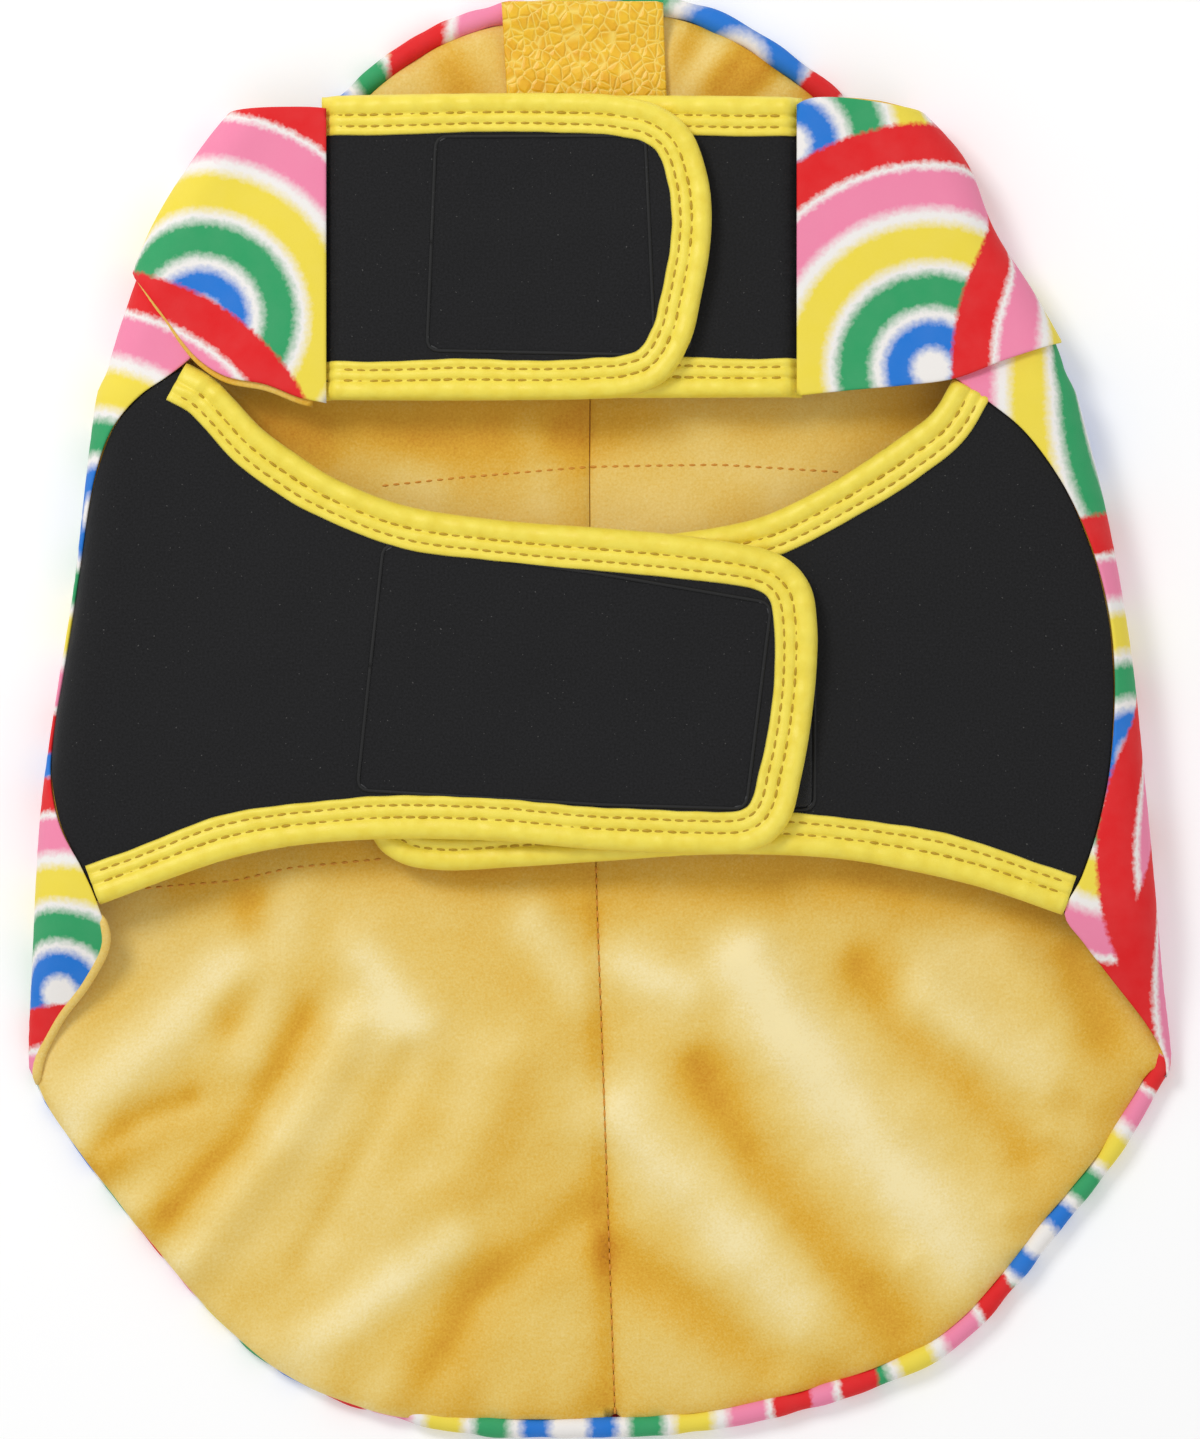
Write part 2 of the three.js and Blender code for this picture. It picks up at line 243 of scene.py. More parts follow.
def inside(x, y, outline):
    hit = np.zeros(x.shape, bool)
    for a, b in zip(outline, np.roll(outline, -1, axis=0)):
        if a[1] != b[1]:
            crosses = (a[1] > y) != (b[1] > y)
            hit ^= crosses & (x < (b[0] - a[0]) * (y - a[1]) / (b[1] - a[1]) + a[0])
    return hit


ROW_STEP = 0.87  # between rows of an even grid of triangles, in spacings
RIM_ROWS = (0.08, 0.3, 0.62, 1.0)  # shares of the rim's width


def triangulate(outline, spacing, rim):
    """Points and triangles that fill an outline, with closer rows of points within the rim."""
    low, high = outline.min(0), outline.max(0)
    rows = []
    for k, y in enumerate(np.arange(low[1], high[1], spacing * ROW_STEP)):
        x = np.arange(low[0] + (k % 2) * spacing / 2, high[0], spacing)
        rows.append(np.c_[x, np.full(len(x), y)])
    pts = np.concatenate(rows)
    pts = pts[inside(pts[:, 0], pts[:, 1], outline)]
    pts = pts[edge_distance(pts[:, 0], pts[:, 1], outline) > rim + 0.6 * spacing]
    closed = np.concatenate([outline[-1:], outline, outline[:1]])
    normal = side_normals(closed)[1:-1]
    probe = outline + 0.01 * normal
    if inside(probe[:, 0], probe[:, 1], outline).mean() < 0.5:
        normal = -normal
    rings = []
    for share in RIM_ROWS:
        ring = outline + normal * rim * share
        ok = inside(ring[:, 0], ring[:, 1], outline)
        ok &= edge_distance(ring[:, 0], ring[:, 1], outline) > 0.93 * rim * share
        rings.append(ring[ok])
    every = np.concatenate([outline, *rings, pts])
    n = len(outline)
    loop = [(i, (i + 1) % n) for i in range(n)]
    found = delaunay_2d_cdt([Vector(p) for p in every], loop, [], 1, 1e-5)
    return np.array([[v[0], v[1]] for v in found[0]]), [list(f) for f in found[2]]


def on_coat(piece, node=None):
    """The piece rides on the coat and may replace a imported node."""
    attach(piece, "coat")
    if node:
        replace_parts(piece, node)


def plain(x, y, z):
    return np.stack([x, y, z], -1)


def panel(name, material, outline, top, bottom, place=plain, spacing=3.0, rim=1.5, nap=None):
    """Thin closed piece whose two faces meet in a rounded rim, drawn flat and then put in place."""
    outline = np.asarray(outline)
    flat, tris = triangulate(outline, spacing, rim)
    x, y = flat[:, 0], flat[:, 1]
    distance = edge_distance(x, y, outline)
    share = rounding(distance, rim)
    high, low = top(x, y) + 0 * x, bottom(x, y) + 0 * x
    middle = (high + low) / 2
    on_rim = distance < 1e-3
    lower = np.where(on_rim, np.arange(len(x)), np.cumsum(~on_rim) - 1 + len(x))
    up = place(x, y, middle + (high - middle) * share)
    down = place(x, y, middle + (low - middle) * share)
    verts = np.concatenate([up, down[~on_rim]])
    faces = tris + [[int(lower[i]) for i in reversed(t)] for t in tris]
    plan = np.concatenate([flat, flat[~on_rim]])
    values = {"cloth": np.c_[plan, np.zeros(len(plan))]}
    # Painted light and shade for the velvet, kept in the mesh as an attribute.
    if nap is not None:
        values["nap"] = nap(plan[:, 0], plan[:, 1])
    piece = make_mesh(name, verts, faces, material, values)
    return piece


LOWEST_TUBE = 0.05


def tube(name, material, path, radius_at, sides=12, flatten=1.0):
    """Closed tube along a 3-D path, with a radius for each share of its length."""
    path = np.asarray(path, float)
    side, up = across(unit(np.gradient(path, axis=0)))
    r = radius_at(np.linspace(0, 1, len(path)))
    angle = np.linspace(0, 2 * math.pi, sides, endpoint=False)
    ring = side[:, None, :] * np.cos(angle)[None, :, None]
    ring = ring + up[:, None, :] * np.sin(angle)[None, :, None] * flatten
    verts = (path[:, None, :] + ring * r[:, None, None]).reshape(-1, 3)
    faces = []
    for i in range(len(path) - 1):
        for j in range(sides):
            k = (j + 1) % sides
            faces.append([i * sides + j, i * sides + k, (i + 1) * sides + k, (i + 1) * sides + j])
    faces.append(list(range(sides))[::-1])
    faces.append([(len(path) - 1) * sides + j for j in range(sides)])
    verts[:, 2] = np.maximum(verts[:, 2], LOWEST_TUBE)
    return make_mesh(name, verts, faces, material, {"cloth": verts * [1, 1, 0]})


STITCH_RINGS = ((-1, 0.3), (-0.75, 0.85), (0, 1), (0.75, 0.85), (1, 0.3))  # place along, girth
STITCH_SIDES = 6
STITCH_DIP = 0.25
STITCH_SLANT = 0.06


def stitches(name, material, lines, pitch=3.6, length=2.9, width=0.38, height=0.3):
    """Rows of separate stitches along 3-D lines."""
    verts, faces = [], []
    for line in lines:
        line = resample(np.asarray(line, float), pitch)
        centre = (line[1:] + line[:-1]) / 2
        t = unit(np.diff(line, axis=0))
        side, up = across(t)
        for c, a, b, n in zip(centre, t, side, up):
            first = len(verts)
            a = a + b * rng.uniform(-STITCH_SLANT, STITCH_SLANT)
            for along, girth in STITCH_RINGS:
                for k in range(STITCH_SIDES):
                    turn = k * 2 * math.pi / STITCH_SIDES
                    p = c + a * along * length / 2 + b * math.cos(turn) * width * girth
                    verts.append(p + n * (math.sin(turn) * height * girth - STITCH_DIP * along**2))
            for i in range(len(STITCH_RINGS) - 1):
                at = first + i * STITCH_SIDES
                for k in range(STITCH_SIDES):
                    m = (k + 1) % STITCH_SIDES
                    faces.append([at + k, at + m, at + STITCH_SIDES + m, at + STITCH_SIDES + k])
            last = len(verts) - STITCH_SIDES
            faces.append([first + k for k in range(STITCH_SIDES)][::-1])
            faces.append([last + k for k in range(STITCH_SIDES)])
    return make_mesh(name, np.array(verts), faces, material)


# ---------- Materials ----------


class Nodes:
    """Short forms for building a procedural material."""

    def __init__(self, name, roughness, **constants):
        self.material = bpy.data.materials.new(name)
        self.material.use_nodes = True
        self.tree = self.material.node_tree
        self.shader = self.tree.nodes["Principled BSDF"]
        self.shader.inputs["Roughness"].default_value = roughness
        for key, value in constants.items():
            self.shader.inputs[key.replace("_", " ")].default_value = value

    def link(self, value, socket):
        if isinstance(value, bpy.types.NodeSocket):
            self.tree.links.new(value, socket)
        else:
            socket.default_value = value

    def node(self, kind, inputs, output=0, **settings):
        """Output of a new node with these settings and linked or constant inputs."""
        node = self.tree.nodes.new("ShaderNode" + kind)
        for key, value in settings.items():
            setattr(node, key, value)
        for key, value in inputs.items():
            self.link(value, node.inputs[key])
        return node.outputs[output]

    def attribute(self, name, output="Vector"):
        return self.node("Attribute", {}, output, attribute_name=name)

    def math(self, operation, a, b=0.0):
        return self.node("Math", {0: a, 1: b}, operation=operation)

    def vector(self, operation, a, b, output="Vector"):
        return self.node("VectorMath", {0: a, 1: b}, output, operation=operation)

    def mix(self, share, a, b, kind="RGBA"):
        return self.node("Mix", {"Factor": share, "A": a, "B": b}, "Result", data_type=kind)

    def place(self):
        """Position in millimetres, the same at every pose because it is kept in the mesh."""
        return self.attribute("cloth")

    def stretch(self, vector, scale):
        return self.vector("MULTIPLY", vector, scale)

    def noise(self, scale, detail=2.0, vector=None, output="Fac"):
        inputs = {"Scale": scale, "Detail": detail, "Vector": vector or self.place()}
        return self.node("TexNoise", inputs, output)

    def ramp(self, value, stops):
        node = self.tree.nodes.new("ShaderNodeValToRGB")
        elements = node.color_ramp.elements
        while len(elements) < len(stops):
            elements.new(0.5)
        for element, (position, color) in zip(elements, sorted(stops, key=lambda stop: stop[0])):
            element.position = position
            element.color = color
        self.link(value, node.inputs["Fac"])
        return node.outputs["Color"]

    def bump(self, height, distance, strength=1.0, base=None):
        inputs = {"Strength": strength, "Distance": distance * MM, "Height": height}
        if base is not None:
            inputs["Normal"] = base
        return self.node("Bump", inputs, "Normal")

    def done(self, color, normal=None):
        self.link(color, self.shader.inputs["Base Color"])
        if normal is not None:
            self.link(normal, self.shader.inputs["Normal"])
        return self.material


def rgb(r, g, b):
    """Display colour, 0 to 255, as linear light."""
    return (*(((c / 255 + 0.055) / 1.055) ** 2.4 if c > 10 else c / 3294.6 for c in (r, g, b)), 1)


RED, PINK, YELLOW = rgb(226, 2, 12), rgb(242, 134, 170), rgb(240, 218, 66)
GREEN, BLUE, WHITE = rgb(34, 158, 96), rgb(2, 116, 212), rgb(242, 238, 234)
DISC_RADIUS = 71.0
OUTSIDE = 80.0
RINGS = (  # outer radius and colour, from the middle out
    (5.8, WHITE), (13.9, BLUE), (17.7, WHITE), (27.6, GREEN), (31, WHITE), (42, YELLOW),
    (46.4, WHITE), (57.7, PINK), (59.7, WHITE), (DISC_RADIUS + 2, RED), (OUTSIDE, WHITE),
)
EDGE_BLUR = 1.6  # half of the width over which one dyed ring fades into the next
NARROW_BLUR = 0.9  # the same beside the narrow outer rings
NARROW_FROM = 57.0
OVERLAP_BLUR = 1.4  # width over which a disc's rim covers the disc behind it
DYE_SPREAD = 2.6  # how far the dye strays from a ring's edge
ROW_PITCH, COLUMN_PITCH = 78, 84  # of the discs behind the placed ones


def weave(n, normal=None):
    """Fine ribs of a smooth woven cloth."""
    ribs = n.noise(1.0, 3, n.stretch(n.place(), (1.6, 4.5, 1)))
    return n.bump(ribs, 0.12, 0.5, normal)


def lattice(low, high):
    """Discs that cover the cloth behind the ones that are listed."""
    rows = np.arange(low[1], high[1] + ROW_PITCH, ROW_PITCH)
    columns = np.arange(low[0], high[0] + COLUMN_PITCH, COLUMN_PITCH)
    return [(x + COLUMN_PITCH / 2 * (j % 2), y) for j, y in enumerate(rows) for x in columns]


def ring_color(n, radius):
    """Colour of the print at a distance from a disc's middle."""
    stops = [(0.0, RINGS[0][1])]
    for (r, color), (_, after) in zip(RINGS, RINGS[1:]):
        blur = NARROW_BLUR if r > NARROW_FROM else EDGE_BLUR
        stops += [((r - blur) / OUTSIDE, color), ((r + blur) / OUTSIDE, after)]
    return n.ramp(n.math("DIVIDE", radius, OUTSIDE), stops)


def rainbow_discs(name, centres, behind=()):
    """Printed discs of coloured rings with soft edges. Each later disc covers the earlier ones.
    A centre may be followed by how much narrower the rings are along x and along y."""
    n = Nodes(name, 0.7, Specular_IOR_Level=0.22)
    half = DYE_SPREAD / 2
    blur = n.vector("MULTIPLY", n.noise(0.7, 5, output="Color"), (DYE_SPREAD, DYE_SPREAD, 0))
    at = n.vector("ADD", n.place(), blur)

    def distance(x, y, *shape):
        from_centre = n.vector("SUBTRACT", at, (x + half, y + half, 0))
        if shape:
            from_centre = n.stretch(from_centre, (*shape, 1))
        return n.vector("LENGTH", from_centre, (0, 0, 0), "Value")

    radius = OUTSIDE
    for centre in behind:
        away = distance(*centre)
        radius = n.mix(n.math("LESS_THAN", away, DISC_RADIUS), radius, away, "FLOAT")
    color = ring_color(n, radius)
    for centre in centres:
        away = distance(*centre)
        within = n.math("SUBTRACT", DISC_RADIUS + OVERLAP_BLUR / 2, away)
        covers = n.math("DIVIDE", within, OVERLAP_BLUR)
        share = n.math("MINIMUM", n.math("MAXIMUM", covers, 0.0), 1.0)
        color = n.mix(share, color, ring_color(n, away))
    fade = n.math("MULTIPLY", n.noise(0.12, 4), 0.05)
    return n.done(n.mix(fade, color, WHITE), weave(n))


PILE_BLOTCHES, PILE_GRAIN, PILE_SPECKS = 0.22, 0.34, 0.2
NOISE_MEAN = 0.35  # what the three add on the average


def velvet():
    """Golden velvet with painted light and shade: an attribute kept in the mesh makes it paler gold where
    highlights are painted and deep orange where shade is painted.
    """
    n = Nodes("velvet", 0.58, Sheen_Weight=0.35, Sheen_Roughness=0.4, Specular_IOR_Level=0.35)
    n.shader.inputs["Sheen Tint"].default_value = rgb(255, 232, 160)
    painted_light_lean = n.attribute("nap", "Fac")
    # Noise adds the pile's own blotches, grain and specks to the painted light.
    for amount, scale, detail in ((PILE_BLOTCHES, 0.055, 2), (PILE_GRAIN, 1.5, 4), (PILE_SPECKS, 0.8, 3)):
        painted_light_lean = n.math("ADD", painted_light_lean, n.math("MULTIPLY", n.noise(scale, detail), amount))
    # The ramp runs from painted shade, deep orange, to painted highlight, pale gold.
    color = n.ramp(
        n.math("SUBTRACT", painted_light_lean, NOISE_MEAN),
        [
            (0.0, rgb(170, 98, 0)), (0.2, rgb(208, 140, 8)), (0.42, rgb(226, 174, 48)),
            (0.62, rgb(234, 198, 100)), (0.82, rgb(242, 216, 138)), (1.0, rgb(250, 232, 174)),
        ],
    )
    return n.done(color, n.bump(n.noise(3.2, 4), 0.2, 0.5, n.bump(n.noise(0.5, 3), 0.5, 0.2)))


def neoprene():
    """Black knit-faced foam with lint on it."""
    n = Nodes("neoprene", 0.8, Sheen_Weight=0.05, Sheen_Roughness=0.5, Specular_IOR_Level=0.25)
    color = n.ramp(n.noise(1.5, 4), [(0.3, rgb(15, 15, 16)), (0.7, rgb(29, 29, 31))])
    specks = n.math("GREATER_THAN", n.noise(1.1, 1.0), 0.765)
    hairs = n.math("GREATER_THAN", n.noise(0.9, 2, n.stretch(n.place(), (0.16, 1.9, 1))), 0.80)
    lint = n.math("MULTIPLY", n.math("MAXIMUM", specks, hairs), 0.22)
    knit = n.noise(2.2, 2, n.stretch(n.place(), (1.5, 0.8, 1)))
    return n.done(n.mix(lint, color, rgb(150, 148, 145)), n.bump(knit, 0.2, 0.5))


def yellow_cloth(name, color, shade):
    """Slightly satin stretch cloth."""
    n = Nodes(name, 0.45, Sheen_Weight=0.1, Sheen_Roughness=0.4)
    tone = n.ramp(n.noise(0.25, 4), [(0.3, shade), (0.62, color)])
    return n.done(tone, n.bump(n.noise(0.5, 3), 0.4, 0.3, weave(n)))


def thread(name, color, roughness=0.5):
    return Nodes(name, roughness).done(color)


def leather():
    """Pebbled yellow leather with paler lines between the pebbles."""
    n = Nodes("leather", 0.42, Coat_Weight=0.1, Coat_Roughness=0.35)
    warp = n.stretch(n.noise(0.3, 1, output="Color"), (1.2, 1.2, 0))
    at = n.vector("ADD", n.stretch(n.place(), (1.2, 1.0, 1)), warp)
    pebbles = {"Scale": 0.31, "Vector": at}
    edge = n.node("TexVoronoi", pebbles, "Distance", feature="DISTANCE_TO_EDGE")
    line = n.ramp(edge, [(0.0, (1, 1, 1, 1)), (0.09, (0, 0, 0, 1))])
    strength = n.math("MULTIPLY", line, 0.75)
    tone = n.ramp(n.noise(0.2, 4), [(0.35, rgb(236, 176, 14)), (0.65, rgb(246, 198, 34))])
    pebble = n.ramp(edge, [(0.0, (0, 0, 0, 1)), (0.22, (1, 1, 1, 1))])
    return n.done(n.mix(strength, tone, rgb(252, 226, 112)), n.bump(pebble, 0.4, 0.7))


def tape_cloth():
    """Dense black loops and hooks."""
    n = Nodes("hook_and_loop", 0.9, Sheen_Weight=0.2)
    color = n.ramp(n.noise(2.6, 3), [(0.35, rgb(10, 10, 11)), (0.75, rgb(40, 40, 42))])
    return n.done(color, n.bump(n.noise(3.0, 2), 0.5, 0.9))


def wadding_fluff():
    """Loose white fibres."""
    n = Nodes("wadding", 0.95)
    color = n.ramp(n.noise(0.4, 4), [(0.3, rgb(226, 222, 214)), (0.7, rgb(246, 244, 238))])
    return n.done(color, n.bump(n.noise(0.8, 5), 1.0, 0.8))


VELVET_CLOTH = velvet()
NEOPRENE_CLOTH = neoprene()
BINDING_CLOTH = yellow_cloth("binding", rgb(246, 226, 82), rgb(240, 216, 66))
TOPSTITCH = thread("yellow_thread", rgb(186, 150, 20))
# Black thread that also stands in for painted shade in the groove along a stitched seam.
BLACK_THREAD_AND_GROOVE_SHADE = thread("black_thread", rgb(5, 5, 6), 0.7)
DARK_THREAD = thread("dark_thread", rgb(44, 44, 46), 0.5)
GOLD_THREAD = thread("gold_thread", rgb(212, 142, 36))
LEATHER = leather()
TAPE_CLOTH = tape_cloth()
WADDING_CLOTH = wadding_fluff()


# ---------- The two sides ----------

HIP_RADIUS = 4.0
HIP_LENGTH = 54.0  # over which the fold grows from the hip radius to its full radius
GROUND_FLAT = 4.0


class Side:
    """One half of the coat in its side frame. Cloth that goes round its fold is drawn unrolled."""

    def __init__(self, name, sign, edge, seam):
        self.name, self.sign = name, sign
        self.edge_curve = spline(edge)
        self.seam = spline(seam)

    def edge(self, y):
        """How far out the fold reaches at a height along the coat."""
        return np.interp(y, self.edge_curve[:, 1], self.edge_curve[:, 0])

    def radius(self, y):
        return HIP_RADIUS + (FOLD_RADIUS - HIP_RADIUS) * smooth((y - HIP_Y) / HIP_LENGTH)

    def centre(self, y):
        return self.edge(y) - self.radius(y)

    def unroll(self, path):
        """Plan points as cloth points: what is seen beyond the fold's centre is longer along the cloth."""
        path = np.array(path, float)
        x, y = path[:, 0], path[:, 1]
        c, r = self.centre(y), self.radius(y)
        around = c + r * np.arcsin(np.clip((x - c) / r, 0, 1))
        path[:, 0] = np.where(x > c, around, x)
        return path

    def under(self, y, beyond=GROUND_FLAT):
        """Where the cloth ends on the ground, along the cloth."""
        return self.centre(y) + math.pi * self.radius(y) + beyond

    def wrap(self, s, y, t):
        """Cloth point at a height t over the outside of the fold, in the coat's frame."""
        c, r = self.centre(y), self.radius(y)
        turn = np.clip((s - c) / r, 0, math.pi)
        x = np.minimum(s, c) + (r + t) * np.sin(turn) - np.maximum(s - c - math.pi * r, 0)
        z = np.maximum(r + (r + t) * np.cos(turn), 0)
        return np.stack([self.sign * x, y, z], -1)


LEFT_EDGE = [
    (164.6, -109), (166.2, -104.5), (164.4, -63.5), (162, -26), (157.6, 5.5), (152.5, 37.7), (148.2, 75.7),
    (145.3, 95.7), (140.7, 112.5), (129.6, 141.2), (116, 163), (106, 176),
]
RIGHT_EDGE = [
    (165.6, -107), (166.5, -103.5), (163, -71.6), (158.2, -21.2), (153.9, 18.9), (147, 57.7), (138.8, 90.2),
    (133.5, 108), (114.8, 140), (106, 160), (92, 176),
]
# Where a folded side ends on top: at the neoprene, then along its own free edge to the hip.
LEFT_SEAM = [
    (164.4, -108), (163.4, -102.5), (156.6, -89), (148.2, -77.9), (142.4, -66), (144.7, -55.7),
    (149.6, -44.4), (156.3, -32.2), (159.6, -18), (159.2, -6), (156.4, 10), (151.6, 40), (146.8, 67.6),
    (141.4, 81.5), (132.8, 91.4), (125.5, 96.6), (119.8, 101), (114, 107), (110, 120),
    (109, 140),
]
RIGHT_SEAM = [
    (165.4, -106), (164.8, -101), (159, -91), (148, -77), (139.8, -66.6), (134, -58), (139, -47),
    (143.6, -33), (147.6, -12), (148.8, 14), (146.5, 33.1), (140.9, 51), (132.5, 67.6),
    (122.1, 81.5), (112.5, 89.4), (103, 96.2), (97, 102), (93, 114), (92, 135),
]
SIDES = [Side("left", -1, LEFT_EDGE, LEFT_SEAM), Side("right", 1, RIGHT_EDGE, RIGHT_SEAM)]
LEFT, RIGHT = SIDES


def side_cloth(side, inset=0.0):
    """Outline of a folded side, unrolled, from its inner edge on top to its end on the ground."""
    inner = side.unroll(side.seam[::-1] + [inset, 0])
    y = np.linspace(inner[-1, 1], inner[0, 1], 60)
    return np.concatenate([inner, np.c_[side.under(y), y]])


SHOULDER_EDGES = {
    "left": [
        (78.9, 89.3), (86.4, 90.8), (96.3, 94.6), (108, 97), (116.3, 102.4), (127.6, 116.9),
        (136, 127),
    ],
    "right": [
        (56.7, 91.4), (72.5, 93), (87, 94.3), (102, 96.3), (116, 101.5), (128, 105.5),
        (134.2, 107.3),
    ],
}
CHEST_SEAM = {"left": 78.9, "right": 56.7}
SHOULDER_RISE = {"left": 0.8, "right": 3.6}  # of the upper edge, beside the chest tab
SHOULDER_FLAT = 2.0  # of the shoulder's cloth on the ground
SHOULDER_LOW = 92.0  # where the shoulders' lower edges start, along the coat


def shoulder_cloth(side, drop=0.0, clear=0.0):
    """Outline of a shoulder, unrolled, from the chest tab over the fold to the ground."""
    low = spline(SHOULDER_EDGES[side.name])
    low[:, 1] -= drop
    low = side.unroll(low)
    end_y = low[-1, 1] + 4
    y = np.linspace(end_y, SHOULDER_Y, 20)
    seam = np.linspace(SHOULDER_Y, low[0, 1], 30)[:-1]
    low = low[low[:, 0] >= CHEST_SEAM[side.name] + clear]
    inner = low[0, 0]
    top = np.linspace(side.under(SHOULDER_Y, SHOULDER_FLAT), inner, 60)[1:]
    peak = np.exp(-(((top - inner - 9) / 20) ** 2)) * rounding(top - inner + 0.8, 7)
    rise = SHOULDER_RISE[side.name] * peak
    return np.concatenate(
        [
            low,
            np.c_[side.under(y, SHOULDER_FLAT), y],
            np.c_[top, SHOULDER_Y + rise],
            np.c_[np.full(len(seam), inner), seam][1:],
        ]
    )


def under_shoulder(y):
    """How far a side tucks in below the shoulder's lower edge."""
    return 1.7 * smooth((y - SHOULDER_LOW) / 8)


SIDE_DISCS = {
    "left": [(170, -8), (147.6, 57.4), (156.6, -81.2, 1.13, 1.13), (150, -155)],
    "right": [(110, -130), (160, 92, 1, 0.55), (155, -13), (214, -42), (220, -82)],
}
SHOULDER_DISCS = {
    "left": [(40, 205), (115, 114), (147.6, 57.4)],
    "right": [(54.8, 163.9), (95.7, 99.2), (172.3, 100.1)],
}
BACKDROP = lattice((110, -260), (250, 240))


def printed(side, part, outline, top, bottom, rim, discs):
    """Printed shell of one side or shoulder."""
    cloth = rainbow_discs(f"print_{part}_{side.name}", discs, BACKDROP)
    node = f"{part}_shell_{side.name}"
    shell = panel(node, cloth, outline, top, bottom, side.wrap, spacing=2.6, rim=rim)
    on_coat(shell, node)


def lined(side, part, outline, top, bottom, spacing, rim, base, change):
    """Velvet lining of one side or shoulder."""
    node = f"{part}_lining_{side.name}"
    # The lining's painted light is an even level with random waves.
    lining = panel(
        node, VELVET_CLOTH, outline, top, bottom, side.wrap, spacing, rim,
        nap=lambda x, y: base + change * waves(x, y, 30, 8),
    )
    on_coat(lining, node)


def fold_side(side):
    """Printed shell and velvet lining of one folded side, from the hip to the shoulder."""
    def lowered(depth):
        return lambda x, y: -depth - under_shoulder(y)

    discs = SIDE_DISCS[side.name]
    printed(side, "side", side_cloth(side), lowered(0), lowered(CLOTH), 0.9, discs)
    top, bottom = lowered(CLOTH + 0.3), lowered(CLOTH + 2.1)
    lined(side, "side", side_cloth(side, 0.2), top, bottom, 2.8, 0.8, 0.35, 0.2)


LINING_SHOWS = {"left": 1.8, "right": -0.4}  # below the lower edge of each shoulder
EDGE_RAISED = 1.5  # where the shoulder's lower edge stands over the belly wing


def shoulder(side):
    """Printed shell and velvet lining of one shoulder. Its lower edge stands over the strap below it."""
    def height(depth):
        def at(x, y):
            puff = 0.35 * waves(x, y, 45, 3) + 0.2 * waves(x, y, 17, 4)
            from_seam = smooth((x - CHEST_SEAM[side.name]) / 25)
            raised = EDGE_RAISED * (1 - smooth((y - SHOULDER_LOW) / 22)) * from_seam
            return puff * rounding(edge_distance(x, y, outline), 14) + raised - depth
        return at

    outline = shoulder_cloth(side)
    discs = SHOULDER_DISCS[side.name]
    printed(side, "shoulder", outline, height(-0.1), height(CLOTH), 1.1, discs)
    inner = shoulder_cloth(side, LINING_SHOWS[side.name], 3.0)
    lined(side, "shoulder", inner, height(CLOTH + 0.3), height(CLOTH + 1.6), 3.0, 0.9, 0.45, 0.15)


# ---------- Back: shell, wadding, lining, hem and neck ----------

HEM = [
    (-166.4, -99), (-166, -104), (-161.8, -114.8), (-151.7, -129.3), (-129.6, -157.2),
    (-112, -177.2), (-92, -193.7), (-68.4, -203.6), (-40, -210), (0, -211), (27.8, -209.4),
    (50, -205.3), (72.2, -199.2), (96.6, -189.4), (108.8, -180.4), (122.1, -165.9),
    (133.1, -151.7), (148.8, -132.5), (164, -107.6), (166, -104), (166.6, -98),
]
NECK = [
    (72.8, 177), (68.7, 181.8), (53.4, 193.4), (44.4, 199.3), (29, 206.4), (0, 211),
    (-29.6, 206.4), (-42.9, 202.4), (-55.7, 196), (-68.4, 186.8), (-79.8, 175.5),
]


def inset(path, distance):
    """The path moved to its left."""
    return path - side_normals(path) * distance


def around_body(hem, neck, outward):
    """Closed outline: the hem, up the right side, round the neck and down the left side. The sides
    run beside the folds' centres, further out by the distance that outward gives."""
    y = np.linspace(HIP_Y, SHOULDER_Y - 1, 70)
    right = np.c_[RIGHT.centre(y) + outward(y), y]
    left = np.c_[-(LEFT.centre(y) + outward(y)), y][::-1]
    return np.concatenate([hem[hem[:, 1] < HIP_Y - 1], right, neck[neck[:, 1] > SHOULDER_Y], left])


def back_outline(hem_inset, neck_inset, side_inset):
    return around_body(inset(spline(HEM), hem_inset), inset(spline(NECK), neck_inset), lambda y: -side_inset)


# Ridges and valleys of the loose lining: amount, half width, points. Straps cover the middle.
RIDGES = [
    (3.2, 9, [(-150, -116), (-124, -92), (-102, -74)]),
    (-1.6, 4, [(-148, -129), (-133, -118), (-118, -113)]),
    (-1.8, 6, [(-106, -90), (-97, -73), (-99, -58)]),
    (2.0, 9, [(-88, -50), (-96, -76), (-101, -99)]),
    (3.4, 7, [(-72, -92), (-90, -123), (-114, -153), (-121, -161)]),
    (-1.5, 5, [(-84, -88), (-103, -125), (-124, -146)]),
    (2.2, 9, [(-70, -68), (-54, -90)]),
    (2.6, 8, [(-92, -191), (-66, -172), (-42, -154)]),
    (-1.6, 6, [(-3, -146), (-35, -170), (-48, -192)]),
    (1.6, 8, [(-18, -62), (-6, -84)]),
    (2.0, 9, [(-28, -104), (-38, -132), (-60, -150)]),
    (-1.2, 5, [(-55, -100), (-70, -130), (-86, -160)]),
    (1.4, 8, [(3, -72), (24, -81)]),
    (4.2, 9, [(44, -72), (58, -96), (75, -117), (93, -140), (110, -160)]),
    (-2.2, 6, [(30, -103), (49, -134), (68, -157), (89, -180)]),
    (2.6, 8, [(6, -117), (34, -146), (58, -174), (66, -186)]),
    (-1.6, 6, [(6, -158), (29, -174), (49, -190)]),
    (-2.0, 6, [(77, -75), (92, -92), (109, -108), (126, -128)]),
    (2.6, 8, [(95, -84), (112, -96), (130, -108)]),
    (-1.4, 6, [(138, -72), (148, -94)]),
    (2.0, 7, [(118, -70), (134, -92), (146, -110)]),
    (1.4, 5, [(143, -125), (132, -122)]),
    (1.3, 4, [(130, -150), (120, -146)]),
    (1.4, 5, [(104, -172), (92, -160)]),
]
